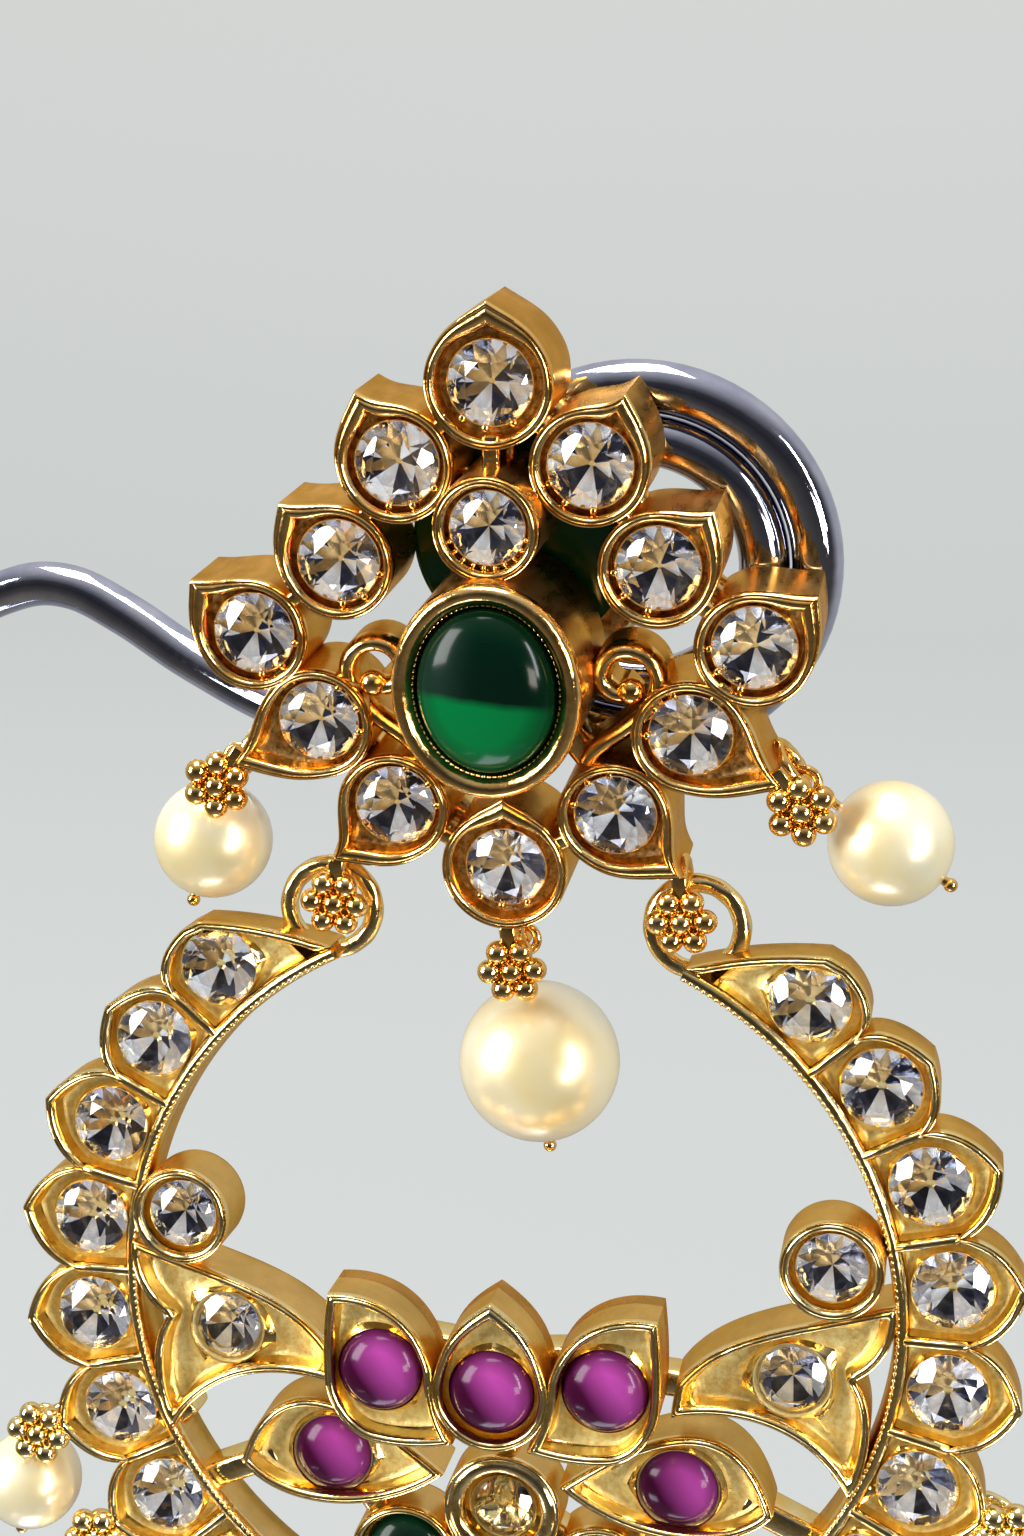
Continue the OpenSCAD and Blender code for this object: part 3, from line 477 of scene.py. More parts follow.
class Nodes:
    """The node tree of a material or of the world, with short calls to add and join nodes."""

    def __init__(self, name: str, world: bool = False) -> None:
        """Starts a material of this name or, where world is set, a world."""
        self.owner = (bpy.data.worlds if world else bpy.data.materials).new(name)
        self.owner.use_nodes = True
        self.tree = self.owner.node_tree
        self.shader = self.tree.nodes["Background" if world else "Principled BSDF"]
        coords = self.tree.nodes.new("ShaderNodeTexCoord")
        self.place = coords.outputs["Generated" if world else "Object"]

    def put(self, value: Socket | float | tuple, into: Socket) -> None:
        """Joins a socket to another one, or sets that one to a constant."""
        if isinstance(value, Socket):
            self.tree.links.new(value, into)
        else:
            into.default_value = value

    def set(self, **values: Socket | float | tuple) -> None:
        """Fills the shader's sockets; an underscore stands for a blank."""
        for key, value in values.items():
            self.put(value, self.shader.inputs[key.replace("_", " ")])

    def add(self, kind: str, *first: Socket | float | tuple, **values: object) -> bpy.types.Node:
        """Adds a node and fills it.

        Args:
            kind: the node's type.
            first: what goes into its first sockets, in their order.
            values: what goes into its properties or, for names in capitals, into its sockets.

        Returns:
            The node.
        """
        node = self.tree.nodes.new(kind)
        for key, value in values.items():
            if key[0].isupper():
                self.put(value, node.inputs[key.replace("_", " ")])
            else:
                setattr(node, key, value)
        for value, into in zip(first, node.inputs):
            self.put(value, into)
        return node

    def mapped(self, scale: Triple) -> Socket:
        """Object coordinates scaled."""
        return self.add("ShaderNodeMapping", self.place, Scale=scale).outputs["Vector"]

    def noise(self, scale: float, detail: float = 3.0, rough: float = 0.55,
              vector: Socket | None = None) -> Socket:
        """Noise value on object coordinates, with its scale in steps per metre."""
        return self.add("ShaderNodeTexNoise", vector or self.place, Scale=scale, Detail=detail,
                        Roughness=rough).outputs["Fac"]

    def ramp(self, value: Socket, stops: list | tuple, smooth: bool = False) -> Socket:
        """Colour ramp with the given stops of place and colour."""
        node = self.add("ShaderNodeValToRGB", value)
        if smooth:
            node.color_ramp.interpolation = "EASE"
        ramp = node.color_ramp.elements
        while len(ramp) < len(stops):
            ramp.new(0.5)
        for element, (at, colour) in zip(ramp, stops):
            element.position = at
            element.color = (*colour, 1.0)
        return node.outputs["Color"]

    def spread(self, value: Socket, low: float, high: float, start: float = 0.0, end: float = 1.0) -> Socket:
        """The value carried from start..end to low..high."""
        return self.add("ShaderNodeMapRange", value, start, end, low, high).outputs["Result"]

    def mix(self, share: Socket, one: Socket | tuple, other: Socket | tuple) -> Socket:
        """Two colours mixed by the share of the other one."""
        node = self.add("ShaderNodeMix", share, data_type="RGBA")
        self.put(one, node.inputs[6])
        self.put(other, node.inputs[7])
        return node.outputs[2]

    def bump(self, height: Socket, strength: float, distance: float) -> None:
        """Adds a bump of the given height in metres, on top of an earlier one."""
        node = self.add("ShaderNodeBump", Strength=strength, Distance=distance, Height=height)
        normal = self.shader.inputs["Normal"]
        if normal.links:
            self.put(normal.links[0].from_socket, node.inputs["Normal"])
        self.put(node.outputs["Normal"], normal)


@dataclass(frozen=True)
class CastGold:
    """Gold plate over cast metal: bright rims, satin walls with tool marks, rough pitted floors with painted
    shade in their pits.
    """

    name: str
    light: Triple
    deep: Triple
    wall: Triple
    floor_pit_shade: Triple
    floor_light: Triple
    gloss: float = 0.13
    floor_metal: float = 0.85

    def polish(self) -> Material:
        """Polished plate with fine ripples and small pits left by the casting."""
        n = Nodes(self.name + "_polish")
        n.set(Metallic=1.0, Specular_Tint=(1.0, 0.78, 0.4, 1.0),
              Base_Color=n.ramp(n.noise(900, 4), [(0.34, self.deep), (0.62, self.light)]),
              Roughness=n.spread(n.noise(2600, 3), self.gloss * 0.6, self.gloss * 1.9, 0.3, 0.75))
        n.bump(n.noise(1300, 2), 0.5, 0.00006)
        n.bump(n.noise(6000, 3, 0.6), 0.35, 0.00002)
        return n.owner

    def satin(self) -> Material:
        """Satin side walls: smooth plate with faint lines from front to back and soft clouds."""
        n = Nodes(self.name + "_wall")
        lines = n.noise(1.0, 3, 0.5, n.mapped((2600, 500, 2600)))
        shade = tuple(0.72 * c for c in self.wall)
        n.set(Metallic=1.0, Specular_Tint=(0.95, 0.66, 0.3, 1.0),
              Base_Color=n.ramp(n.noise(420, 3), [(0.3, shade), (0.66, self.wall)]),
              Roughness=n.spread(lines, 0.24, 0.36, 0.3, 0.7))
        n.bump(lines, 0.35, 0.00003)
        n.bump(n.noise(900, 2), 0.4, 0.00006)
        return n.owner

    def pitted(self) -> Material:
        """Rough floors round the stones, darkened in the pits as painted shade and bright on the grains."""
        n = Nodes(self.name + "_floor")
        pits = n.noise(4200, 4, 0.7)
        # The colour is darker where the pits lie low, as painted shade.
        n.set(Metallic=self.floor_metal, Roughness=n.spread(pits, 0.28, 0.48, 0.35, 0.65),
              Base_Color=n.ramp(pits, [(0.36, self.floor_pit_shade), (0.62, self.floor_light)]))
        n.bump(pits, 0.45, 0.0001)
        return n.owner

    def make(self) -> list[Material]:
        """The three finishes in the order of Finish."""
        return [self.polish(), self.satin(), self.pitted()]


@dataclass(frozen=True)
class Chrome:
    """Bright chrome wire, slightly cloudy and waved, with a few dull specks, its colour tinted blue-lavender
    as painted reflection.
    """

    name: str = "chrome"

    def make(self) -> Material:
        """The material."""
        n = Nodes(self.name)
        # The colour is tinted blue-lavender and partly darker than real chrome, as a painted reflection of a
        # dark navy room.
        n.set(Metallic=1.0,
              Base_Color=n.ramp(n.noise(700, 3), [(0.3, (0.44, 0.46, 0.58)), (0.7, (0.62, 0.63, 0.72))]),
              Roughness=n.spread(n.noise(3000, 4, 0.7), 0.02, 0.14, 0.35, 0.8))
        n.bump(n.noise(1400, 2), 0.25, 0.00003)
        return n.owner


@dataclass(frozen=True)
class ClearStone:
    """Clear cut stone of high refraction on a mirror backing that covers its lower facets; the backing glows
    as painted light and has facets painted as dark and gold reflections.
    """

    name: str = "clear_stone"
    refraction: float = 2.05

    def crown(self) -> Material:
        """The clear facets in front of the girdle."""
        n = Nodes(self.name)
        n.set(Roughness=0.0, IOR=self.refraction, Transmission_Weight=1.0, Specular_IOR_Level=0.2,
              Base_Color=n.ramp(n.noise(260, 2), [(0.3, (0.93, 0.95, 1.0)), (0.7, (1.0, 0.99, 0.97))]))
        return n.owner

    def backing(self, name: str, cool: Triple, warm: Triple, rough: float, glow: float) -> Material:
        """Mirror facets behind the girdle, cloudy between two tints, glowing in the same tints as painted
        light.
        """
        n = Nodes(f"{self.name}_{name}")
        tint = n.ramp(n.noise(700, 3), [(0.4, cool), (0.62, warm)])
        # glow makes the mirror facets glow as painted light.
        n.set(Metallic=1.0, Roughness=rough, Emission_Strength=glow, Base_Color=tint, Emission_Color=tint)
        return n.owner

    def make(self) -> list[Material]:
        """Crown, then the backings: bright silver, dark blue-grey as a painted dark reflection and golden
        brown as a painted gold reflection, all with a painted glow.
        """
        return [self.crown(), self.backing("silver", (0.9, 0.94, 1.0), (1.0, 0.98, 0.96), 0.25, 0.2),
                self.backing("painted_dark_reflection", (0.05, 0.06, 0.12), (0.2, 0.2, 0.25), 0.12, 0.03),
                self.backing("painted_gold_reflection", (0.6, 0.36, 0.12), (1.0, 0.72, 0.34), 0.25, 0.12)]


@dataclass(frozen=True)
class DomedStone:
    """Deeply coloured cabochon with its light and shade painted into its colour: a head darkened as painted
    shade, with a grey painted sheen on one side, a bright window of painted glow across it and a rim darkened
    as painted shade.

    The window lies where the turned height is below edge, in mm from the stone's middle, and
    passes into the head over twice the length soft.
    """

    name: str
    # Painted colours: head is painted shade, window painted glow, rim painted shade at the edge, grey a
    # painted sheen; only their hue is the stone's own.
    painted_shade_head: Triple
    painted_glow_window: Triple
    rim: Triple
    grey: Triple
    turn: float
    edge: float
    soft: float
    middle: Triple = (0.0, 0.0, 0.0)
    half: Pair = (1.575, 1.575)

    def make(self) -> Material:
        """The glossy material, whose painted light and shade follow the object coordinates round the middle.
        """
        n = Nodes(self.name)
        middle = tuple(v * MM for v in self.middle)
        centre = n.add("ShaderNodeVectorMath", n.place, middle, operation="SUBTRACT").outputs[0]
        spot = n.add("ShaderNodeVectorRotate", centre, rotation_type="Y_AXIS", Angle=self.turn)
        split = n.add("ShaderNodeSeparateXYZ", spot.outputs[0])
        wobble = n.add("ShaderNodeMath", n.noise(500, 2), 0.0003, split.outputs["Z"],
                       operation="MULTIPLY_ADD").outputs[0]
        # share: painted glow of the window below the edge, painted shade of the head above it.
        share = n.spread(wobble, 0.0, 1.0, (self.edge - self.soft) * MM, (self.edge + self.soft) * MM)
        # The head is painted lighter grey on its -X side as painted sheen and dark on the other side as
        # painted shade.
        across = n.spread(split.outputs["X"], 0.0, 1.0, -0.002, 0.0022)
        painted_shade_head = n.ramp(across, [(0.0, self.grey), (0.45, self.painted_shade_head), (1.0, self.painted_shade_head)], True)
        size = (1 / (self.half[0] * MM), 0.0, 1 / (self.half[1] * MM))
        flat = n.add("ShaderNodeVectorMath", centre, size, operation="MULTIPLY")
        # reach darkens the colour towards the rim as painted shade.
        reach = n.add("ShaderNodeVectorMath", flat.outputs[0], operation="LENGTH").outputs["Value"]
        body = n.mix(share, (*self.painted_glow_window, 1.0), painted_shade_head)
        n.set(Roughness=0.16, Specular_IOR_Level=0.16, Coat_Weight=0.25, Coat_Roughness=0.06, Coat_IOR=1.25,
              Base_Color=n.mix(n.spread(reach, 0.0, 0.9, 0.62, 1.0), body, (*self.rim, 1.0)))
        return n.owner


# Head, window, rim and grey of each stone: painted shade, painted glow, painted shade at the rim and painted
# sheen, in the stone's own hue.
RUBY = DomedStone("ruby", (0.04, 0.002, 0.02), (0.36, 0.05, 0.28), (0.05, 0.003, 0.03),
                  (0.07, 0.006, 0.04), 2.2, 0.1, 0.6)
EMERALD = DomedStone("emerald", (0.004, 0.014, 0.008), (0.0, 0.16, 0.045), (0.0, 0.03, 0.01),
                     (0.02, 0.04, 0.03), -0.3, -0.1, 0.2)
OVAL_EMERALD = DomedStone("emerald_oval", (0.001, 0.01, 0.005), (0.0, 0.15, 0.035), (0.0, 0.02, 0.006),
                          (0.012, 0.03, 0.022), -0.1, -0.1, 0.16)


@dataclass(frozen=True)
class PearlSkin:
    """Cream pearl: soft lustre under a clear coat and slight yellow clouds."""

    name: str = "pearl"

    def make(self) -> Material:
        """The material."""
        n = Nodes(self.name)
        n.set(Metallic=0.4, IOR=1.6, Coat_Weight=0.8, Coat_Roughness=0.14,
              Base_Color=n.ramp(n.noise(330, 2), [(0.3, (0.96, 0.78, 0.38)), (0.72, (1.0, 0.94, 0.7))]),
              Roughness=n.spread(n.noise(900, 2), 0.3, 0.4, 0.3, 0.7))
        return n.owner


@dataclass
class Palette:
    """All finishes of the object."""

    stud: list[Material]
    crescent: list[Material]
    chrome: list[Material]
    clear: list[Material]
    pearl: list[Material]


# Placement


@dataclass(frozen=True)
class Layout:
    """Where the stud and the crescent stand, from the same sizes as the solids."""

    stud_h: float = 60.6312
    nod: float = 10.0
    set_back: float = -1.95
    eye_y: float = 0.9
    hang_y: float = 0.85
    ring_drop: float = 16.0545
    link_eye_z: float = -10.7883

    def stud(self) -> Array:
        """Matrix of the stud's frame: leaning forward by its nod."""
        turn = about_x(self.nod)
        return placement(turn, turn @ [0, self.set_back, 0] + [0, 0, self.stud_h])

    def hinge(self) -> Array:
        """Place of the hinge line."""
        return carried([0, self.eye_y, self.link_eye_z], self.stud())

    def crescent(self) -> Array:
        """Matrix of the crescent's frame: hung plumb below the hinge."""
        return placement(np.eye(3), self.hinge() - [0, self.hang_y, self.ring_drop])


@dataclass(frozen=True)
class Stones:
    """Sizes of the stones and their settings."""

    round_d: float = 2.9
    small_d: float = 2.55
    oval_w: float = 4.8
    oval_h: float = 5.8
    colour_d: float = 3.15
    gap: float = 0.2
    rim: float = 0.38
    rise: float = 0.5

    def bezel(self, d: float) -> float:
        """Outer radius of a setting round a stone of this diameter."""
        return d / 2 + self.gap + self.rim

    def seat(self, d: float) -> float:
        """Radius of the seat below a stone of this diameter."""
        return d / 2 + 0.02

    @property
    def petal_r(self) -> float:
        """Radius of a petal's round end."""
        return self.bezel(self.round_d)


# Radius and depth of a brilliant's rings in shares of its radius, from the table to the
# halves of its mains, and the depth of its point.
CUT = [(0.55, -0.32), (0.76, -0.205), (1.0, -0.022), (1.0, 0.022), (0.38, 0.58)]
CULET = 0.86


def brilliant(at: tuple | Array, d: float, turn: float = 0.0, proud: float = 0.0) -> Patch:
    """Round brilliant: octagonal table, stars, kites, girdle band and pavilion mains with halves.

    Args:
        at: x and z of the stone.
        d: diameter of the girdle.
        turn: turn about its axis in degrees.
        proud: distance of the girdle in front of the plane y = 0.

    Returns:
        The patch, with triangles as faces that repeat a corner.
    """
    r = d / 2
    i = np.arange(8)
    eight, mid, full = unit(turn + 45 * i + 22.5), unit(turn + 45 * i), unit(turn + 22.5 * np.arange(16))
    rings = [lifted(share * r * ring, y * r) for (share, y), ring in zip(CUT, (eight, mid, full, full, mid))]
    ends = np.array([[0, CUT[0][1] * r, 0], [0, CULET * r, 0]])
    j, prev = (i + 1) % 8, (i - 1) % 8
    t, s, u, lo, h, top, culet = 0, 8, 16, 32, 48, 56, 57
    before, e, m = (2 * i - 1) % 16, 2 * i, 2 * i + 1
    z, after = np.arange(16), (np.arange(16) + 1) % 16
    quads = [(t + i, t + j, top, top), (t + prev, t + i, s + i, s + i), (t + i, s + i, u + m, s + j),
             (s + i, u + e, u + m, u + m), (s + i, u + before, u + e, u + e),
             (u + z, lo + z, lo + after, u + after),
             (h + i, lo + before, lo + e, lo + e), (h + i, lo + e, lo + m, lo + m),
             (h + i, lo + m, h + j, culet)]
    faces = np.concatenate([np.stack(np.broadcast_arrays(*quad), 1) for quad in quads])
    # Mains facing up and to the left take the golden brown backing as a painted gold reflection; the other
    # pavilion facets alternate between the glowing silver backing and the dark blue-grey one, a painted dark
    # reflection.
    warm = np.cos(np.radians(turn + 45 * i + 22.5 - 130)) > 0.3
    mains = np.where(warm, 3, 2 - i % 2)
    finish = np.concatenate([np.repeat([0, 1], [40, 16]), 1 + i % 2, 2 - i % 2, mains])
    return Patch(np.concatenate(rings + [ends]) + [at[0], -proud, at[1]], faces, finish)


def dome(at: tuple | Array, a: float, b: float, height: float, front: float) -> Patch:
    """Polished cabochon: an elliptical dome with a softly rounded foot and a flat back.

    Args:
        at: x and z of its middle.
        a: half width.
        b: half height.
        height: rise of the dome in front of its foot.
        front: depth of the foot's plane, negative in front.

    Returns:
        The patch.
    """
    lat = np.linspace(0, np.pi / 2, 15)
    base = 0.15
    share = np.concatenate([[0, 0.93, 0.985], np.cos(lat) ** 0.9])
    y = front + np.concatenate([[base, base, base * 0.6], -height * np.sin(lat) ** 1.05])
    return shell([ellipse(a, b, 72)], marked(Finish.POLISH, *zip(1 - share, y)), at)


# Share of the rim's width and depth along the two rounded lips of a setting's rim and the
# groove between them, from the outer edge inwards.
SETTING_ROWS = [
    (0.0, -0.32), (0.04, -0.41), (0.12, -0.455), (0.2, -0.44), (0.26, -0.4), (0.33, -0.44), (0.44, -0.49),
    (0.58, -0.5), (0.72, -0.475), (0.86, -0.41), (0.96, -0.31), (1.0, -0.2)]


def setting_rows(back: float, floor: float, seat: float, proud: float = 0.0) -> Rows:
    """Rows of a cast setting, from the middle of its back to the bottom of its seat.

    The wall goes up to a rim of two rounded lips with a groove between them, then down to a
    pitted floor, up to a thin lip round the stone and into a cone below it.

    Args:
        back: depth of the back.
        floor: depth of the floor behind the stone's plane.
        seat: depth of the cone's point.
        proud: how far rim, floor and seat stand in front of y = 0.

    Returns:
        Rows for shell with loops outline, inner outline and stone circle.
    """
    wall = marked(Finish.WALL, (3.0, back), (2.0, back), (0.3, back), (0.06, back - 0.04), (0.0, back - 0.18),
                  (0.0, back * 0.5))
    inside = (marked(Finish.POLISH, (0.0, -0.2), *SETTING_ROWS, (1.04, -0.02))
              + marked(Finish.FLOOR, (1.12, floor * 0.7), (1.3, floor), (1.6, floor))
              + marked(Finish.POLISH, (1.84, floor * 0.7), (1.94, 0.02), (2.0, -0.04))
              + marked(Finish.FLOOR, (2.03, 0.04))
              + marked(Finish.POLISH, (2.25, floor), (2.6, seat * 0.75), (3.0, seat)))
    return wall + [(k, y - proud, finish) for k, y, finish in inside]


def seat_loop(inner: Array, radius: float, near: float = 0.02) -> Array:
    """The circle of a stone's seat, matched point by point to the floor's outline.

    Where the outline comes nearer to the circle than near, the seat keeps just inside it.
    """
    reach = np.linalg.norm(inner, axis=1)[:, None]
    return np.where(reach < radius + near, inner * 0.985, radius * inner / reach)


# The stud


@dataclass(frozen=True)
class Petal:
    """One petal: its stone's place, its tip and its two flanks, in shares of the petal's radius."""

    x: float
    z: float
    tip_x: float
    tip_z: float
    first: Pair
    last: Pair
    size: float = 1.0

    def outline(self, radius: float, inset: float) -> Array:
        """The petal's outline, drawn in by inset at the round end and twice as far at the tip."""
        tip_share = 2.1
        tip = np.array([self.tip_x, self.tip_z]) * radius
        tip = tip * (1 - tip_share * inset / np.linalg.norm(tip))
        return teardrop(radius * self.size - inset, tip, self.first, self.last)

    def mirror(self) -> Petal:
        """The same petal on the other side."""
        first, last = [(180 - start, 180 - end) for start, end in (self.last, self.first)]
        return replace(self, x=-self.x, tip_x=-self.tip_x, first=first, last=last)

    def middle(self, radius: float) -> Array:
        """Place of the stone."""
        return np.array([self.x, self.z]) * radius

    def tip(self, radius: float) -> Array:
        """Place of the tip."""
        return np.array([self.x + self.tip_x, self.z + self.tip_z]) * radius


TOP_PETAL = Petal(0, 3.5, 0, 1.34, (28, 148), (152, 32), 1.08)
SIDE_PETALS = [
    Petal(1.62, 2.16, 0.62, 1.22, (-20, 118), (112, 34)),
    Petal(2.72, 0.47, 0.95, 1.01, (-28, 106), (96, 8)),
    Petal(4.31, -0.85, 1.04, 0.95, (-30, 98), (92, 2)),
    Petal(3.25, -2.42, 1.62, -0.84, (-104, 12), (44, -46)),
    Petal(1.95, -3.93, 1.17, -1.07, (-128, 2), (10, -62))]
FOOT_PETAL = Petal(0, -5.0, 0, 1.34, (30, 146), (150, 34), 1.12)
# How far the stud's rosettes lean from straight down, in degrees.
SIDE_LEAN, LINK_LEAN, FOOT_LEAN = 36.0, 4.0, 6.0
# The wire eyes: depth of those that carry the stud's pearls, distance from the tip on the stud
# and on the ring's edge, and radius. The fringe starts at the setting EDGE_FIRST of the ring.
PEARL_EYE_Y = 2.0
EYE_OUT, EDGE_EYE_OUT = 0.7, 0.35
EYE_MAJOR = 0.82
EDGE_FIRST = 5
# Radius and depth along the profile of a rosette's plate.
ROSETTE_PLATE = [(0, -0.5), (0.7, -0.5), (0.82, -0.42), (0.845, -0.3), (0.83, -0.1), (0.7, -0.05), (0, -0.05)]


def hanging_tips(radius: float) -> tuple[Array, Array, Array]:
    """Places that carry the stud's rosettes: below the side, the link and the foot petal."""
    side, link = SIDE_PETALS[3].tip(radius), SIDE_PETALS[4].tip(radius)
    return side + [-0.42, 0.6], link + [-0.14, 0.06], np.array([0, FOOT_PETAL.z - 1.1]) * radius


@dataclass
class Rosette:
    """Seven granules on a small plate with the wire eye behind them."""

    granule: float = 0.44
    ring: float = 0.845
    front: float = -0.45
    eye_wire: float = 0.25

    def build(self, tip: Array | tuple, lean: float, eye_out: float, rosette_out: float, eye_y: float = 0.9,
              neck: float = 0.0) -> list[Patch]:
        """The rosette below a tip.

        Args:
            tip: x and z of the tip that carries it.
            lean: its direction from straight down, in degrees towards +X.
            eye_out: distance of the eye's middle from the tip.
            rosette_out: distance of the middle granule from the tip.
            eye_y: depth of the eye's middle.
            neck: width of the solder strip from the tip, or 0 for none.

        Returns:
            Its patches.
        """
        down, side = unit(lean - 90), unit(lean)
        eye, middle = np.asarray(tip) + down * eye_out, np.asarray(tip) + down * rosette_out
        parts = [torus((eye[0], eye_y, eye[1]), EYE_MAJOR, self.eye_wire, (side[0], 0, side[1]),
                       40, 14, 0.06),
                 lathe(ROSETTE_PLATE, (middle[0], 0, middle[1]), "y", 28)]
        parts += grains([middle], self.front - 0.06, self.granule, 20, 12)
        six = middle + self.ring * unit(lean - 60 + 60 * np.arange(6))
        parts += grains(six, self.front, self.granule, 20, 12)
        if neck:
            parts.append(rounded_bar(tip, middle, neck, -0.45, -0.05))
        return parts


@dataclass
class Stud:
    """The cast flower with its settings, scrolls, back bars and hanging eyes."""

    layout: Layout
    stones: Stones
    palette: Palette
    depth: float = 3.5
    round_z: float = 2.52
    round_proud: float = 1.2
    oval_z: float = -2.85
    oval_proud: float = 2.2
    oval_step: float = 0.5
    web: float = 1.1
    web_front: float = 1.3
    scroll_x: float = 4.3
    scroll_z: float = -3.0
    scroll_half: float = 0.33

    @property
    def petal_r(self) -> float:
        """Radius of a petal's round end."""
        return self.stones.petal_r

    @property
    def back(self) -> float:
        """Depth of the casting's back."""
        return self.depth - self.stones.rise

    def petals(self) -> list[Petal]:
        """All twelve petals, in the order of their stones."""
        return [TOP_PETAL, *SIDE_PETALS, FOOT_PETAL, *[p.mirror() for p in SIDE_PETALS]]

    def petal_patches(self) -> list[Patch]:
        """The petals' castings, each a shell from its outline over the rim to the stone's seat."""
        s = self.stones
        rows = setting_rows(self.back, 0.34, 1.22)
        parts = []
        for petal in self.petals():
            outer, inner = petal.outline(self.petal_r, 0), petal.outline(self.petal_r, s.rim)
            middle = petal.middle(self.petal_r)
            parts.append(shell([outer, inner, seat_loop(inner, s.seat(s.round_d))], rows, middle))
            away = np.degrees(np.arctan2(petal.tip_z, petal.tip_x)) + 180
            spots = middle + (s.round_d / 2 + 0.06) * unit(away + np.array([-40.0, -8.0, 30.0]))
            parts += grains(spots, -0.06, 0.15)
        return parts

    def centre_patches(self) -> list[Patch]:
        """The round bezel and the oval bezel with its broad rolled rim."""
        s = self.stones
        r = s.small_d / 2 + s.gap + s.rim * 0.9
        loops = [ellipse(q, q, 80) for q in (r, r - s.rim, s.seat(s.small_d))]
        parts = [shell(loops, setting_rows(self.back - 0.1, 0.3, 1.1, self.round_proud), (0, self.round_z))]
        spots = (s.small_d / 2 + 0.08) * unit(np.arange(200, 345, 16)) + [0, self.round_z]
        parts += grains(spots, -self.round_proud - 0.1, 0.09)
        a, b, wide = s.oval_w / 2, s.oval_h / 2, s.rim + self.oval_step
        front = -s.rise - self.oval_proud
        rim = [(0.0, 0.5), (0.01, 0.36), (0.06, 0.2), (0.16, 0.08), (0.3, 0.01), (0.45, 0.0), (0.6, 0.06),
               (0.74, 0.17), (0.86, 0.3), (0.94, 0.4), (1.0, 0.5), (1.0, 0.85), (1.05, 0.95)]
        rows = (marked(Finish.WALL, (2.0, self.back - 0.2), (0.3, self.back - 0.2), (0.0, self.back - 0.4),
                       (0.0, 0.0))
                + marked(Finish.POLISH, *[(k, front + y) for k, y in rim])
                + marked(Finish.FLOOR, (2.0, front + 0.95)))
        parts.append(shell([ellipse(a + q, b + q, 120) for q in (wide, 0.04)], rows, (0, self.oval_z)))
        return parts + grains(ellipse(a + 0.14, b + 0.14, 84) + [0, self.oval_z], front + 0.4, 0.085)

    def neck_patches(self) -> list[Patch]:
        """Short bright necks of solder between neighbours at the front."""
        parts = [rounded_bar((0, 5.4), (0, 4.1), 0.7, -0.42, 1.0),
                 rounded_bar((0, 1.2), (0, 0.3), 0.9, -1.2, 1.0)]
        side = [p.middle(self.petal_r) for p in [TOP_PETAL, *SIDE_PETALS, FOOT_PETAL]]
        for p, q in zip(side[:-1], side[1:]):
            middle, half = (p + q) / 2, 0.35 * (q - p) / np.linalg.norm(q - p)
            parts += pair(rounded_bar(middle - half, middle + half, 0.6, -0.4, 0.8))
        return parts

    def back_plate(self, m: Array) -> None:
        """The dark green glass disc that closes the flower's middle from behind."""
        n = Nodes("back_glass")
        n.set(Base_Color=(0.002, 0.06, 0.015, 1.0), Roughness=0.08, IOR=1.5)
        disc = lathe([(0, 2.92), (3.7, 2.92), (3.88, 2.96), (3.9, 3.0), (3.88, 3.03), (0, 3.04)],
                     (0.3, 0, 1.0), "y", 72)
        dress("back_disc", [disc], [n.owner], "stud", [], m)

    def web_patches(self) -> list[Patch]:
        """Bars behind the petals that hold neighbours together."""
        r = self.petal_r
        top, foot = TOP_PETAL.middle(r), FOOT_PETAL.middle(r)
        oval, upper = np.array([0, self.oval_z]), np.array([0, self.round_z])
        side = [p.middle(r) for p in SIDE_PETALS]
        pairs = [(top, oval), (oval, foot), (top, side[0]), *zip(side[:-1], side[1:]), (side[4], foot),
                 (side[0], upper), (side[4], oval)]
        parts = []
        for p, q in pairs:
            bar = rounded_bar(p, q, self.web, self.web_front, self.back - 0.12)
            parts += pair(bar, p[0] or q[0])
        return parts

    def scroll_patches(self) -> list[Patch]:
        """The scrolls: a rounded band along a spiral that comes up in a curve from the foot petal,
        with a ball at its eye and straight walls towards the back."""
        at, radius, shrink, turn = np.array([self.scroll_x, self.scroll_z]), 1.2, 0.7, 300
        tail = bezier(np.array([2.95, -6.1]), np.array([3.2, -5.2]), at + [radius, -1.7], at + [radius, 0],
                      np.linspace(0, 1, 30))
        a = np.linspace(0, turn, 64)[1:]
        line = np.concatenate([tail, at + (radius - shrink * a / turn)[:, None] * unit(a)])
        d = np.gradient(line, axis=0)
        n = np.stack([-d[:, 1], d[:, 0]], axis=-1) / np.linalg.norm(d, axis=1)[:, None]
        across = np.array([0, -1, -1, -0.97, -0.8, -0.5, -0.2, 0, 0.2, 0.5, 0.8, 0.97, 1, 1, 0])
        y = np.array([1.9, 1.85, 0.5, 0.2, 0.0, -0.14, -0.2, -0.21, -0.2, -0.14, 0.0, 0.2, 0.5, 1.85, 1.9])
        grid = lifted(line[:, None] + n[:, None] * (across * self.scroll_half)[None, :, None], y)
        ends = [np.broadcast_to([line[k, 0], 1.0, line[k, 1]], grid[:1].shape) for k in (0, -1)]
        finish = np.repeat([Finish.WALL, Finish.POLISH, Finish.WALL], [2, 10, 2])
        band = grid_patch(np.concatenate([ends[0], grid, ends[1]]), finish, wrap_u=False)
        return pair(band) + pair(ball((line[-1, 0], 0.05, line[-1, 1]), 0.48))

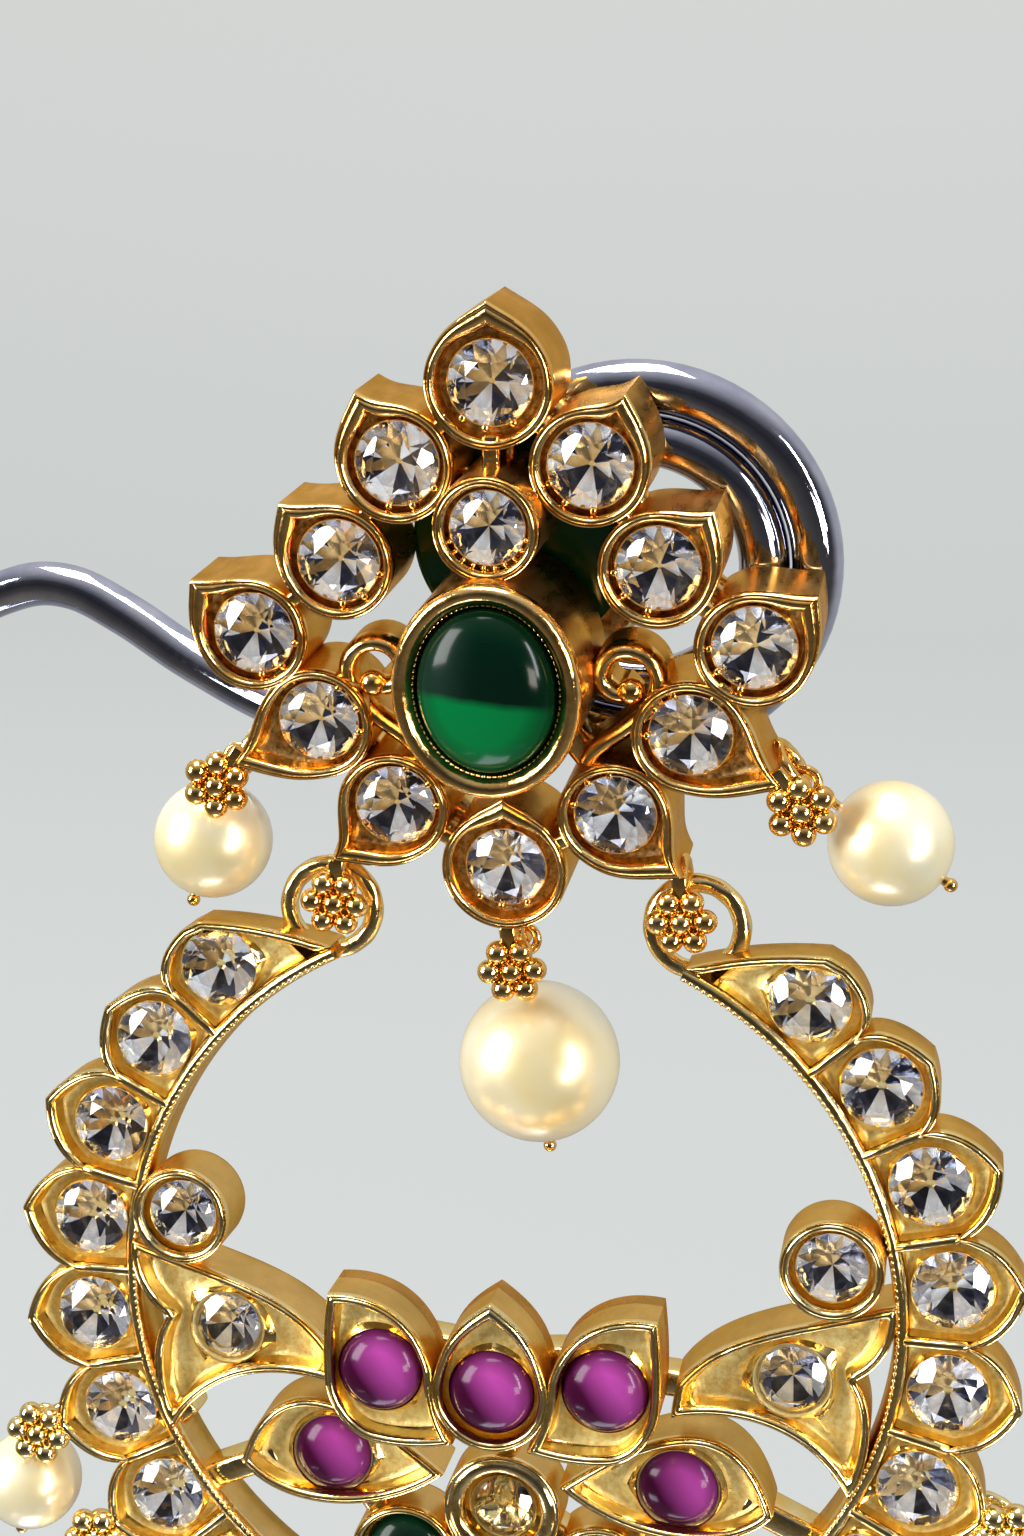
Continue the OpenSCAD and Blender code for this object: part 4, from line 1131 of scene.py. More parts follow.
    def rosette_patches(self) -> list[Patch]:
        """The five rosettes under the side petals, the link petals and the foot petal."""
        side, link, foot = hanging_tips(self.petal_r)
        parts = []
        for tip, lean, eye_y in ((foot, FOOT_LEAN, PEARL_EYE_Y), (side, SIDE_LEAN, PEARL_EYE_Y),
                                 (link, LINK_LEAN, self.layout.eye_y)):
            for patch in Rosette().build(tip, lean, EYE_OUT, 1.65, eye_y, 0.6):
                parts += pair(patch, tip[0])
        return parts

    def build(self) -> None:
        """Makes the stud's pieces and hands the solids over to them."""
        m = self.layout.stud()
        for name, patches in (("petals", self.petal_patches()), ("bezels", self.centre_patches()),
                              ("bars", self.web_patches()), ("scrolls", self.scroll_patches()),
                              ("necks", self.neck_patches()), ("rosettes", self.rosette_patches())):
            dress(f"stud_{name}", patches, self.palette.stud, "stud", ["stud_frame"], m)
        self.back_plate(m)
        self.build_stones(m)

    def build_stones(self, m: Array) -> None:
        """Makes the thirteen brilliants and the oval cabochon."""
        s = self.stones
        cut = [brilliant(p.middle(self.petal_r), s.round_d, 11.0 * k) for k, p in enumerate(self.petals())]
        cut.append(brilliant((0, self.round_z), s.small_d, 5.0, self.round_proud))
        nodes = [f"stone_petal_{n}" for n in range(1, 13)] + ["stone_round"]
        dress("stud_brilliants", cut, self.palette.clear, "stud", nodes, m, sharp=1.0)
        half = (s.oval_w / 2, s.oval_h / 2)
        middle = tuple(carried([0, -self.oval_proud, self.oval_z], m))
        # The oval's material paints its light and shade round the stone's middle.
        green = replace(OVAL_EMERALD, middle=middle, half=half).make()
        oval = dome((0, self.oval_z), *half, 1.2, -self.oval_proud)
        dress("oval_cabochon", [oval], [green], "stud", ["emerald_oval"], m)


# The crescent


# Places of the motif's stones in tenths of the ring's inner radius, and the cubic sides of its
# freely drawn castings: start, two handles and end, in the same unit or, for the crown's side
# petals, in the petal's radius from its stone.
MOTIF = {"crown": (0, -1.74), "crown_side": (2.92, -1.42), "bead": (8.45, 2.06), "wing": (7.51, -1.35),
         "leaf": (4.65, -4.71), "centre": (0, -5.77), "green": (2.66, -7.42), "drop": (0, -8.35)}
WING_SIDES = [((4.58, -1.58), (5.63, -0.04), (7.6, 0.18), (10.07, 1.02)),
              ((10.07, 1.02), (10.2, 0.04), (9.65, -0.81), (9.12, -1.06)),
              ((9.12, -1.06), (9.65, -1.73), (9.65, -3.2), (9.05, -4.37)),
              ((9.05, -4.37), (8.24, -2.71), (6.48, -2.01), (4.44, -2.57)),
              ((4.44, -2.57), (4.48, -2.2), (4.53, -1.9), (4.58, -1.58))]
LEAF_SIDES = [((1.55, -4.86), (3.24, -3.49), (6.13, -1.51), (7.15, -5.07)),
              ((7.15, -5.07), (6.06, -6.44), (3.24, -6.3), (1.55, -4.86))]
CROWN_SIDES = [((0.88, 1.35), (-0.09, 1.48), (-0.74, 0.93), (-0.93, 0.14)),
               ((-0.93, 0.14), (-0.95, -0.42), (-1.07, -0.84), (-1.3, -1.16)),
               ((-1.3, -1.16), (-0.84, -1.28), (-0.37, -1.32), (0.09, -1.25)),
               ((0.09, -1.25), (0.56, -1.18), (0.95, -0.65), (0.95, -0.05)),
               ((0.95, -0.05), (0.97, 0.46), (0.93, 0.93), (0.88, 1.35))]
# The cabochons: solid, place in the motif, side, material slot and look.
CABOCHONS = [("ruby_crown_left", "crown_side", -1, "purple_stone", RUBY),
             ("ruby_crown_middle", "crown", 1, "purple_stone", RUBY),
             ("ruby_crown_right", "crown_side", 1, "purple_stone", RUBY),
             ("ruby_leaf_left", "leaf", -1, "purple_stone", RUBY),
             ("ruby_leaf_right", "leaf", 1, "purple_stone", RUBY),
             ("emerald_left", "green", -1, "green_stone", EMERALD),
             ("emerald_right", "green", 1, "green_stone", EMERALD)]


@dataclass
class Crescent:
    """The hinged ring of twenty-one settings with its inner motif, loops and edge rosettes."""

    layout: Layout
    stones: Stones
    palette: Palette
    inner_r: float = 14.2
    rim_in: float = 0.55
    depth: float = 2.1
    cells: int = 21
    end_span: float = 15.6
    crown_proud: float = 2.4
    bead_proud: float = 1.3
    bead_back: float = 0.5

    @property
    def back(self) -> float:
        """Depth of the casting's back."""
        return self.depth - self.stones.rise

    @property
    def tenth(self) -> float:
        """A tenth of the inner radius, the unit of the motif's places."""
        return self.inner_r / 10

    def spot(self, name: str) -> Array:
        """Place of one of the motif's stones, from the ring's middle."""
        return self.tenth * np.array(MOTIF[name])

    @property
    def tip_angle(self) -> float:
        """Angle of the ring's tips, which sink into the loops."""
        return float(np.degrees(np.arcsin((self.loop_x - 0.23) / (self.inner_r + self.rim_in))))

    @property
    def end_peak(self) -> float:
        """Angle at which the ring's end has risen to the first scallop's height."""
        return self.first - self.step * 0.12

    @property
    def first(self) -> float:
        """Angle of the first setting."""
        return self.tip_angle + self.end_span

    @property
    def step(self) -> float:
        """Angle from one setting to the next."""
        return (180 - self.first) / ((self.cells - 1) / 2)

    @property
    def cell_r(self) -> float:
        """Radius of the circle through the ring's stones."""
        return self.inner_r + self.rim_in + self.stones.gap + self.stones.round_d / 2 - 0.1

    @property
    def valley_r(self) -> float:
        """Radius of the valleys between the scallops."""
        return self.cell_r + 0.65

    def angle(self, i: int | Array) -> float | Array:
        """Angle of a setting, clockwise from the top."""
        return self.first + i * self.step

    def peak(self, i: int) -> float:
        """How far a setting's tip stands out past the valleys."""
        return (1.25, 1.5, 2.0)[min(i, self.cells - 1 - i, 2)]

    def scallop(self, i: int, u: Array) -> Array:
        """Outer radius of a setting at shares u from -1 to 1 across it."""
        u = np.clip(np.abs(u), 0, 1)
        round_part = np.sqrt(1 - u * u)
        if min(i, self.cells - 1 - i) < 1:
            return self.valley_r + self.peak(i) * round_part
        return self.valley_r + self.peak(i) * (0.45 * round_part + 0.55 * (1 - u) ** 0.65)

    def outline(self, inset: float) -> Array:
        """The scalloped outer edge from tip to tip, inset by a rim of even width.

        The radius is the scallop's; on its slopes the rim's radial width grows with the slope,
        so that the width measured across the rim stays even.
        """
        low, high, lowest = self.inner_r + self.rim_in, self.valley_r + self.peak(0), self.cells // 2
        t = np.linspace(0, 1, 26)[:-1]
        angles = [self.tip_angle + (self.end_peak - self.tip_angle) * t]
        radii = [low * (1 - t) + high * t]
        u = np.sin(np.linspace(-np.pi / 2, np.pi / 2, 27))[:-1]
        u = np.sign(u) * np.abs(u) ** 1.15
        for i in range(lowest + 1):
            share = np.linspace(0, 1, 13)[:-1] if i == 0 else u
            share = share[share < 0] if i == lowest else share
            angles.append(self.angle(i) + share * self.step / 2)
            radii.append(self.scallop(i, share))
        a, r = np.concatenate(angles), np.concatenate(radii)
        a = np.concatenate([a, [180], 360 - a[::-1]])
        r = np.concatenate([r, self.scallop(lowest, np.zeros(1)), r[::-1]])
        slope = np.gradient(r, np.radians(a)) / r
        width = inset * np.minimum(np.sqrt(1 + slope**2), 1.7)
        return np.stack([a, np.maximum(r - width, low)], axis=-1)

    def ring_patches(self) -> list[Patch]:
        """The ring's body as a polar grid: its profile goes round from the inner lip of the outer
        rim over the rim, down the outer wall, across the back and up the inner wall to the
        milled inner rim, whose width is notched by a fine wave."""
        outer, inner = self.outline(0), self.outline(self.stones.rim)
        a, ro, ri = outer[:, 0], outer[:, 1], inner[:, 1]
        r0, r1 = self.inner_r, self.inner_r + self.rim_in
        rise, back = -self.stones.rise, self.back
        notch = 0.05 * np.abs(np.sin(np.radians(a) * 130))
        rim = [(ro + (ri - ro) * k, y) for k, y in [(1.0, -0.05)] + SETTING_ROWS[::-1]]
        rows = (marked(Finish.FLOOR, (ri, back - 0.2)) + marked(Finish.POLISH, *rim)
                + marked(Finish.WALL, (ro, -0.2), (ro, back - 0.2), (ro - 0.08, back - 0.03),
                         (ro - 0.3, back), (r0 + 0.12, back), (r0, back - 0.12))
                + marked(Finish.POLISH, (r0, -0.12), (r0 + 0.03 + notch, -0.34),
                         (r0 + 0.12 + notch, rise + 0.02), (r0 + 0.25, rise), (r0 + 0.38, rise + 0.04),
                         (r1 - 0.04, rise + 0.16), (r1, -0.05))
                + marked(Finish.FLOOR, (r1, back - 0.2)))
        r = np.stack([np.minimum(np.maximum(q[0], r0), ro) for q in rows], axis=1)
        grid = lifted(polar(r, a[:, None]), np.array([q[1] for q in rows]))
        caps = [np.broadcast_to(grid[k].mean(axis=0), grid[:1].shape) for k in (0, -1)]
        finish = np.array([int(q[2]) for q in rows])
        return [grid_patch(np.concatenate([caps[0], grid, caps[1]]), finish, wrap_u=False, wrap_v=True)]

    def milled_edge(self) -> list[Patch]:
        """The beaded line along the inner rim."""
        a = np.arange(self.tip_angle + 0.6, 360 - self.tip_angle - 0.4, 1.05)
        return grains(polar(self.inner_r + 0.14, a), -0.42, 0.11, 6, 4)

    def cell_outline(self, i: int) -> Array:
        """Inner outline of a setting: along the inner rim, up a ridge, round the scallop and back.

        The first setting narrows towards the ring's tip, and the last one is its mirror image.
        """
        if i == self.cells - 1:
            return self.cell_outline(0) * [-1, 1]
        middle, half = self.angle(i), self.step / 2
        ri, ro = self.inner_r + self.rim_in, self.valley_r - self.stones.rim
        ridge_in, ridge_out = np.degrees(np.arcsin(0.2 / np.array([ri, ro])))
        start, end = middle - half + ridge_in, middle + half - ridge_in
        edge = self.outline(self.stones.rim * 0.98)
        top_a = middle + np.linspace(0.9, -0.9, 41) * half
        up = np.linspace(polar(ri, end), polar(ro, middle + half - ridge_out), 10)[1:]
        down = np.linspace(polar(ro, middle - half + ridge_out), polar(ri, start), 10)[:-1]
        if i == 0:
            start = self.tip_angle + 4.2
            end_a = self.tip_angle + (self.end_peak - self.tip_angle) * np.array([0.9, 0.7, 0.5, 0.36])
            top_a = np.concatenate([middle + np.linspace(0.9, 0, 20) * half, end_a])
            down = np.zeros((0, 2))
        top = polar(np.interp(top_a, edge[:, 0], edge[:, 1]), top_a)
        return np.concatenate([polar(ri, np.linspace(start, end, 16)), up, top, down])

    def cell_patches(self) -> list[Patch]:
        """The settings' floors: from the rim's inner edge down to a pitted floor and the seat."""
        parts = []
        floor = 0.34
        rows = (marked(Finish.POLISH, (0.0, -0.28), (0.04, -0.02))
                + marked(Finish.FLOOR, (0.14, floor * 0.6), (0.32, floor), (0.62, floor))
                + marked(Finish.POLISH, (0.84, floor * 0.7), (0.94, 0.02), (1.0, -0.04), (1.03, 0.04),
                         (1.25, floor), (1.6, 0.9), (2.0, 1.2)))
        for i in range(self.cells):
            middle = polar(self.cell_r, self.angle(i))
            loop = even(self.cell_outline(i), 110) - middle
            seat = seat_loop(loop, self.stones.seat(self.stones.round_d), 0.03)
            parts.append(shell([loop, seat], rows, middle))
        return parts

    def ridge_patches(self) -> list[Patch]:
        """The straight ridges between neighbouring settings."""
        r0, r1 = self.inner_r + 0.3, self.valley_r - 0.15
        between = [self.angle(i) + self.step / 2 for i in range(self.cells - 1)]
        return [rounded_bar(polar(r0, a), polar(r1, a), 0.42, -0.5, 1.0, 3.0) for a in between]

    def setting(self, name: str, outer: Array, inner: Array, seat_d: float, proud: float,
                back: float | None = None, depth: float = 0.95) -> list[Patch]:
        """One setting of the motif and, where it lies off the middle, its mirror image.

        Args:
            name: its place in the motif.
            outer: its outline, from its stone's middle.
            inner: its rim's inner outline.
            seat_d: diameter of its stone.
            proud: how far its rim stands in front of the ring's.
            back: depth of its back, or None for the motif's.
            depth: depth of its seat's point.

        Returns:
            Its patches.
        """
        seat = seat_loop(inner, self.stones.seat(seat_d))
        rows = setting_rows(self.back - 0.1 if back is None else back, 0.34, depth, proud)
        return pair(shell([outer, inner, seat], rows, self.spot(name)), MOTIF[name][0])

    def motif(self) -> list[Patch]:
        """The inner motif: purple crown petals, wings, leaves, round bezels and the lower settings."""
        s = self.stones
        crown_r, green_r = s.bezel(s.colour_d), s.colour_d / 2 + s.gap * 0.7 + s.rim
        crown_back = 0.35 - self.crown_proud + 0.95
        tall = [teardrop(crown_r - q, (0, 1.64 * crown_r - 1.7 * q), (12, 146), (168, 34))
                for q in (0, s.rim)]
        parts = self.setting("crown", *tall, s.colour_d, self.crown_proud, crown_back, 0.8)
        for name in ("crown", "crown_side"):
            x, z = self.spot(name)
            parts += pair(lathe([(1.0, crown_back - 0.1), (1.0, self.back - 0.15)], (x, 0, z), "y", 40), x)
        crown_at = self.spot("crown_side")
        for line, name, seat_d, proud, back, depth in (
                (curved(CROWN_SIDES, crown_r, crown_at), "crown_side", s.colour_d, self.crown_proud,
                 crown_back, 0.8),
                (curved(WING_SIDES, self.tenth), "wing", s.round_d, 0.4, None, 1.7),
                (curved(LEAF_SIDES, self.tenth), "leaf", s.colour_d, 0.3, None, 0.95)):
            middle = self.spot(name)
            inner = drawn_in(line, s.rim) - middle
            parts += self.setting(name, line - middle, inner, seat_d, proud, back, depth)
        bead, wide = s.bezel(s.small_d), s.bezel(s.small_d) + s.rim
        circle = [ellipse(q, q, 80) for q in (bead, bead - s.rim)]
        parts += self.setting("bead", *circle, s.small_d, self.bead_proud, self.bead_back, 1.15)
        double = [ellipse(q, q, 80) for q in (wide, wide - 2 * s.rim)]
        parts += self.setting("centre", *double, s.small_d, 0.2, depth=1.3)
        pear = [teardrop(q, np.array([0.9, -0.95]) * q * k, (-110, -20), (20, -70))
                for q, k in ((green_r, 1.0), (green_r - s.rim, 0.94))]
        parts += self.setting("green", *pear, s.colour_d, 0.1)
        drop = [teardrop(q, (0, -1.23 * q * k), (-148, -68), (-32, -112))
                for q, k in ((s.petal_r, 1.0), (s.petal_r - s.rim, 0.9))]
        return parts + self.setting("drop", *drop, s.round_d, 0.0, depth=1.3)

    def bar_patches(self) -> list[Patch]:
        """Bars behind the motif that tie its settings to each other and to the ring."""
        crown, centre, green, bead = [self.spot(q) for q in ("crown", "centre", "green", "bead")]
        outwards = (self.inner_r + self.rim_in) / np.linalg.norm(bead)
        pairs = [(crown, centre), (centre, (0, -self.inner_r - 0.3))]
        pairs += [(self.tenth * np.array(p), self.tenth * np.array(q)) for p, q in (
            ((8.6, 0.3), (8.5, 1.4)), ((8.8, -3.8), (9.5, -4.6)), ((6.3, -5.1), (8.3, -6.0)),
            ((3.6, -1.9), (5.2, -2.0)), ((1.9, -2.8), (3.1, -4.4)))]
        pairs += [(crown, self.spot("crown_side")), (centre, green), (green, self.spot("leaf")),
                  (self.spot("drop"), green), (bead, bead * outwards),
                  (green, polar(self.inner_r + 0.3, 151))]
        parts = []
        for p, q in pairs:
            parts += pair(rounded_bar(p, q, 1.1, 0.0, self.back - 0.12), p[0] or q[0])
        return parts

    def loop_patches(self) -> list[Patch]:
        """The thick cast loops that hang in the stud's link eyes."""
        r, wire = 1.61, 0.34
        at = (self.loop_x, self.layout.hang_y, self.layout.ring_drop - r)
        return pair(torus(at, r, wire, (0, 1, 0), 72, 20, 0.05))

    @property
    def loop_x(self) -> float:
        """Distance of a loop's middle from the plane of symmetry: half a mm outside its eye's."""
        link = hanging_tips(self.stones.petal_r)[1]
        return link[0] + EYE_OUT * np.sin(np.radians(LINK_LEAN)) + 0.5

    def edge(self) -> list[Pair]:
        """Angle and radius of the eleven tips that carry the fringe."""
        carrying = range(EDGE_FIRST, self.cells - EDGE_FIRST)
        return [(self.angle(i), self.valley_r + self.peak(i)) for i in carrying]

    def rosette_patches(self) -> list[Patch]:
        """The eleven rosettes below the ring's tips."""
        parts = []
        for a, r in self.edge():
            parts += Rosette().build(polar(r, a), 180 - a, EDGE_EYE_OUT, 0.85)
        return parts

    def build(self) -> None:
        """Makes the crescent's pieces and hands the solids over to them."""
        m = self.layout.crescent()
        ring = self.ring_patches() + self.ridge_patches() + self.loop_patches()
        for name, patches in (("ring", ring), ("milling", self.milled_edge()), ("cells", self.cell_patches()),
                              ("motif", self.motif()), ("bars", self.bar_patches()),
                              ("rosettes", self.rosette_patches())):
            dress(f"crescent_{name}", patches, self.palette.crescent, "crescent",
                  ["crescent_frame"], m)
        self.build_stones(m)

    def build_stones(self, m: Array) -> None:
        """Makes the ring's brilliants, the motif's brilliants and the cabochons."""
        s = self.stones
        ring = [brilliant(polar(self.cell_r, self.angle(i)), s.round_d, 17.0 * i) for i in range(self.cells)]
        motif = [brilliant([x, 1] * self.spot("bead"), s.small_d, 8, self.bead_proud) for x in (-1, 1)]
        motif += [brilliant([x, 1] * self.spot("wing"), s.round_d, 3, 0.2) for x in (-1, 1)]
        motif += [brilliant(self.spot("centre"), s.small_d, 0, 0.1),
                  brilliant(self.spot("drop"), s.round_d, 0)]
        for name, patches, nodes in (
                ("ring_brilliants", ring, ["crescent_stones_left", "crescent_stones_right"]),
                ("motif_brilliants", motif, ["stone_bead_left", "stone_bead_right", "stone_wing_left",
                                             "stone_wing_right", "stone_centre", "stone_drop"])):
            dress(name, patches, self.palette.clear, "crescent", nodes, m, sharp=1.0)
        half = s.colour_d / 2
        for name, spot, x, slot, look in CABOCHONS:
            at, proud = [x, 1] * self.spot(spot), self.crown_proud if spot.startswith("crown") else 0.0
            # Each dome's material paints its light and shade round the stone's middle.
            look = replace(look, name="tint_" + name, middle=tuple(m[:3, 3] + [at[0], -proud, at[1]]))
            patch = dome(at, half, half, 1.0, 0.15 - proud)
            dress(name + "_dome", [patch], [look.make()], "crescent", [name], m)


# Pearls


@dataclass
class Pearls:
    """The drilled pearls of the stud and of the crescent's edge, with their wires."""

    layout: Layout
    stones: Stones
    palette: Palette
    wire: float = 0.34
    loop_r: float = 0.49
    edge_drop: float = 2.7
    edge_d: float = 3.9

    def pearl(self, drop: float, d: float) -> Patch:
        """A pearl as a turned skin from rim to rim of its drilled hole, with the hole's wall."""
        r, hole = d / 2, self.wire / 2 + 0.05
        start = np.arcsin((hole + 0.05) / r)
        a = np.linspace(start, np.pi - start, 40)
        skin = np.stack([r * np.sin(a), -drop - r * np.cos(a)], axis=-1)
        lip = np.array([[hole, skin[0, 1] + 0.05], [hole + 0.01, skin[0, 1] + 0.015]])
        low = np.array([[hole + 0.01, skin[-1, 1] - 0.015], [hole, skin[-1, 1] - 0.05]])
        return lathe(np.concatenate([lip, skin, low, lip[:1]]))

    def pin(self, drop: float, d: float) -> list[Patch]:
        """A wire with its loop above the pearl and a bead below it."""
        r, top, end = self.wire / 2, 0.1 - self.loop_r, -drop - d / 2 - 0.3
        return [lathe([(0, top), (r, top), (r, end), (0, end)], sides=16),
                torus((0, 0, 0), self.loop_r, r, (0, 1, 0), 32, 12), ball((0, 0, end), 0.25)]

    def place(self, base: Array, eye: Array, swing: float, nod: float = 0.0, eye_y: float = 0.9) -> Array:
        """Matrix that hangs a pearl from an eye, plumb and then swung sideways."""
        c, s = np.cos(np.radians(swing)), np.sin(np.radians(swing))
        turn = np.array([[c, 0, s], [0, 1, 0], [-s, 0, c]])
        return placement(base[:3, :3] @ turn @ about_x(-nod), carried([eye[0], eye_y, eye[1]], base))

    def build(self) -> None:
        """Makes all pearls and wires."""
        stud, ring = self.layout.stud(), self.layout.crescent()
        side, _, foot = hanging_tips(self.stones.petal_r)
        side = side + (EYE_OUT + EYE_MAJOR) * unit(SIDE_LEAN - 90)
        foot = foot + (EYE_OUT + EYE_MAJOR) * unit(FOOT_LEAN - 90)
        for name, eye, swing, drop, d in (("left", side * [-1, 1], 19.5, 3.24, 4.4),
                                          ("right", side, -58.5, 3.64, 4.4),
                                          ("middle", foot, -7.5, 4.7, 6.0)):
            m = self.place(stud, eye, swing, self.layout.nod, PEARL_EYE_Y)
            dress(f"pearl_{name}_skin", [self.pearl(drop, d)], self.palette.pearl, "stud",
                  [f"pearl_{name}"], m)
            dress(f"pin_{name}_wire", self.pin(drop, d), self.palette.stud[:1], "stud",
                  [f"pin_{name}"], m)
        skins, wires = [], []
        for a, r in Crescent(self.layout, self.stones, self.palette).edge():
            m = self.place(ring, polar(r + EDGE_EYE_OUT + EYE_MAJOR, a), (a - 180) * 0.2)
            skins.append(moved(self.pearl(self.edge_drop, self.edge_d), m))
            wires += [moved(q, m) for q in self.pin(self.edge_drop, self.edge_d)]
        dress("edge_pearl_skins", skins, self.palette.pearl, "crescent", ["edge_pearls"])
        dress("edge_pearl_wires", wires, self.palette.crescent[:1], "crescent", ["edge_pins"])


# The stand


@dataclass
class Stand:
    """The chrome wire with its arm and coil, the foot and the stud's hidden post."""

    layout: Layout
    palette: Palette
    wire_d: float = 1.8
    wire_foot_z: float = 1.05
    coil_x: float = 4.25
    outer_r: float = 6.3
    stud_back: float = 3.0
    foot_d: float = 60.0
    foot_t: float = 4.0
    post_out: float = 3.0
    post_angle: float = 200.0

    def route(self) -> Array:
        """The wire's middle line: a smooth curve through the arm's points, then two turns.

        Each stretch between two points is a Catmull-Rom cubic; the coil's radius shrinks from
        the outer to the inner turn by an ease curve behind the stud.
        """
        arm = np.array([[-26.3, 9, -56.45], [-26.3, 9, -30], [-26.3, 9, -14], [-26.1, 9, -7],
                        [-25, 9, -3.4], [-22.3, 9, -1.9], [-20, 9, -1.8], [-17.6, 9, -2.9],
                        [-14.6, 8.6, -4.6], [-10.5, 7.4, -6.2], [-6, 5.4, -6.8], [-1.8, 3.4, -6.5]])
        arm += [0, 0, self.layout.stud_h]
        arm[0, 2] = self.wire_foot_z
        a = np.arange(-108, 500.1, 5)
        inner = self.outer_r - self.wire_d - 0.05
        s = np.clip((a - 150) / 100, 0, 1)
        x, z = (unit(a) * (self.outer_r - (self.outer_r - inner) * s * s * (3 - 2 * s))[:, None]).T
        coil = carried(xyz(self.coil_x + x, self.stud_back + 0.1 + self.wire_d / 2, z), self.layout.stud())
        knots = np.concatenate([arm[:1], arm, coil[:2]])
        t = np.linspace(0, 1, 9)[:-1][:, None]
        parts = []
        for p, q, u, v in zip(knots, knots[1:], knots[2:], knots[3:]):
            parts.append(0.5 * (2 * q + (u - p) * t + (2 * p - 5 * q + 4 * u - v) * t**2
                                + (3 * q - p - 3 * u + v) * t**3))
        return np.concatenate(parts + [coil])

    def build(self) -> None:
        """Makes the wire, the foot and the post."""
        path, r = self.route(), self.wire_d / 2
        last = (path[-1] - path[-2]) / np.linalg.norm(path[-1] - path[-2])
        line = np.concatenate([path, path[-1:] + 0.12 * last])
        wire = sweep(line, np.append(np.full(len(path), r), r * 0.8), 32, (1, 0, 0))
        dress("chrome_wire", [wire], self.palette.chrome, "stud", ["stand_wire"])
        d, t = self.foot_d / 2, self.foot_t
        foot = lathe([(0, 0), (d - 0.5, 0), (d - 0.1, 0.12), (d, 0.5), (d, t - 0.9), (d - 0.25, t - 0.35),
                      (d - 0.8, t - 0.06), (d - 1.6, t), (0, t)], sides=160)
        dress("foot_disc", [foot], self.palette.chrome, "stud", ["stand_foot"])
        x, z = [self.coil_x, 0] + self.post_out * unit(self.post_angle)
        post = lathe([(0, 2.25), (0.45, 2.25), (0.45, 10.2), (0.33, 10.42), (0, 10.5)], (x, 0, z), "y", 32)
        nut = lathe([(0.45, 5.05), (2.6, 5.05), (2.92, 5.15), (3.0, 5.4), (3.0, 5.9), (2.9, 6.15),
                     (2.6, 6.25), (0.45, 6.25)], (x, 0, z), "y", 72)
        dress("post_and_nut", [post, nut], self.palette.stud[:1], "stud", ["ear_post"],
              self.layout.stud())


# The studio


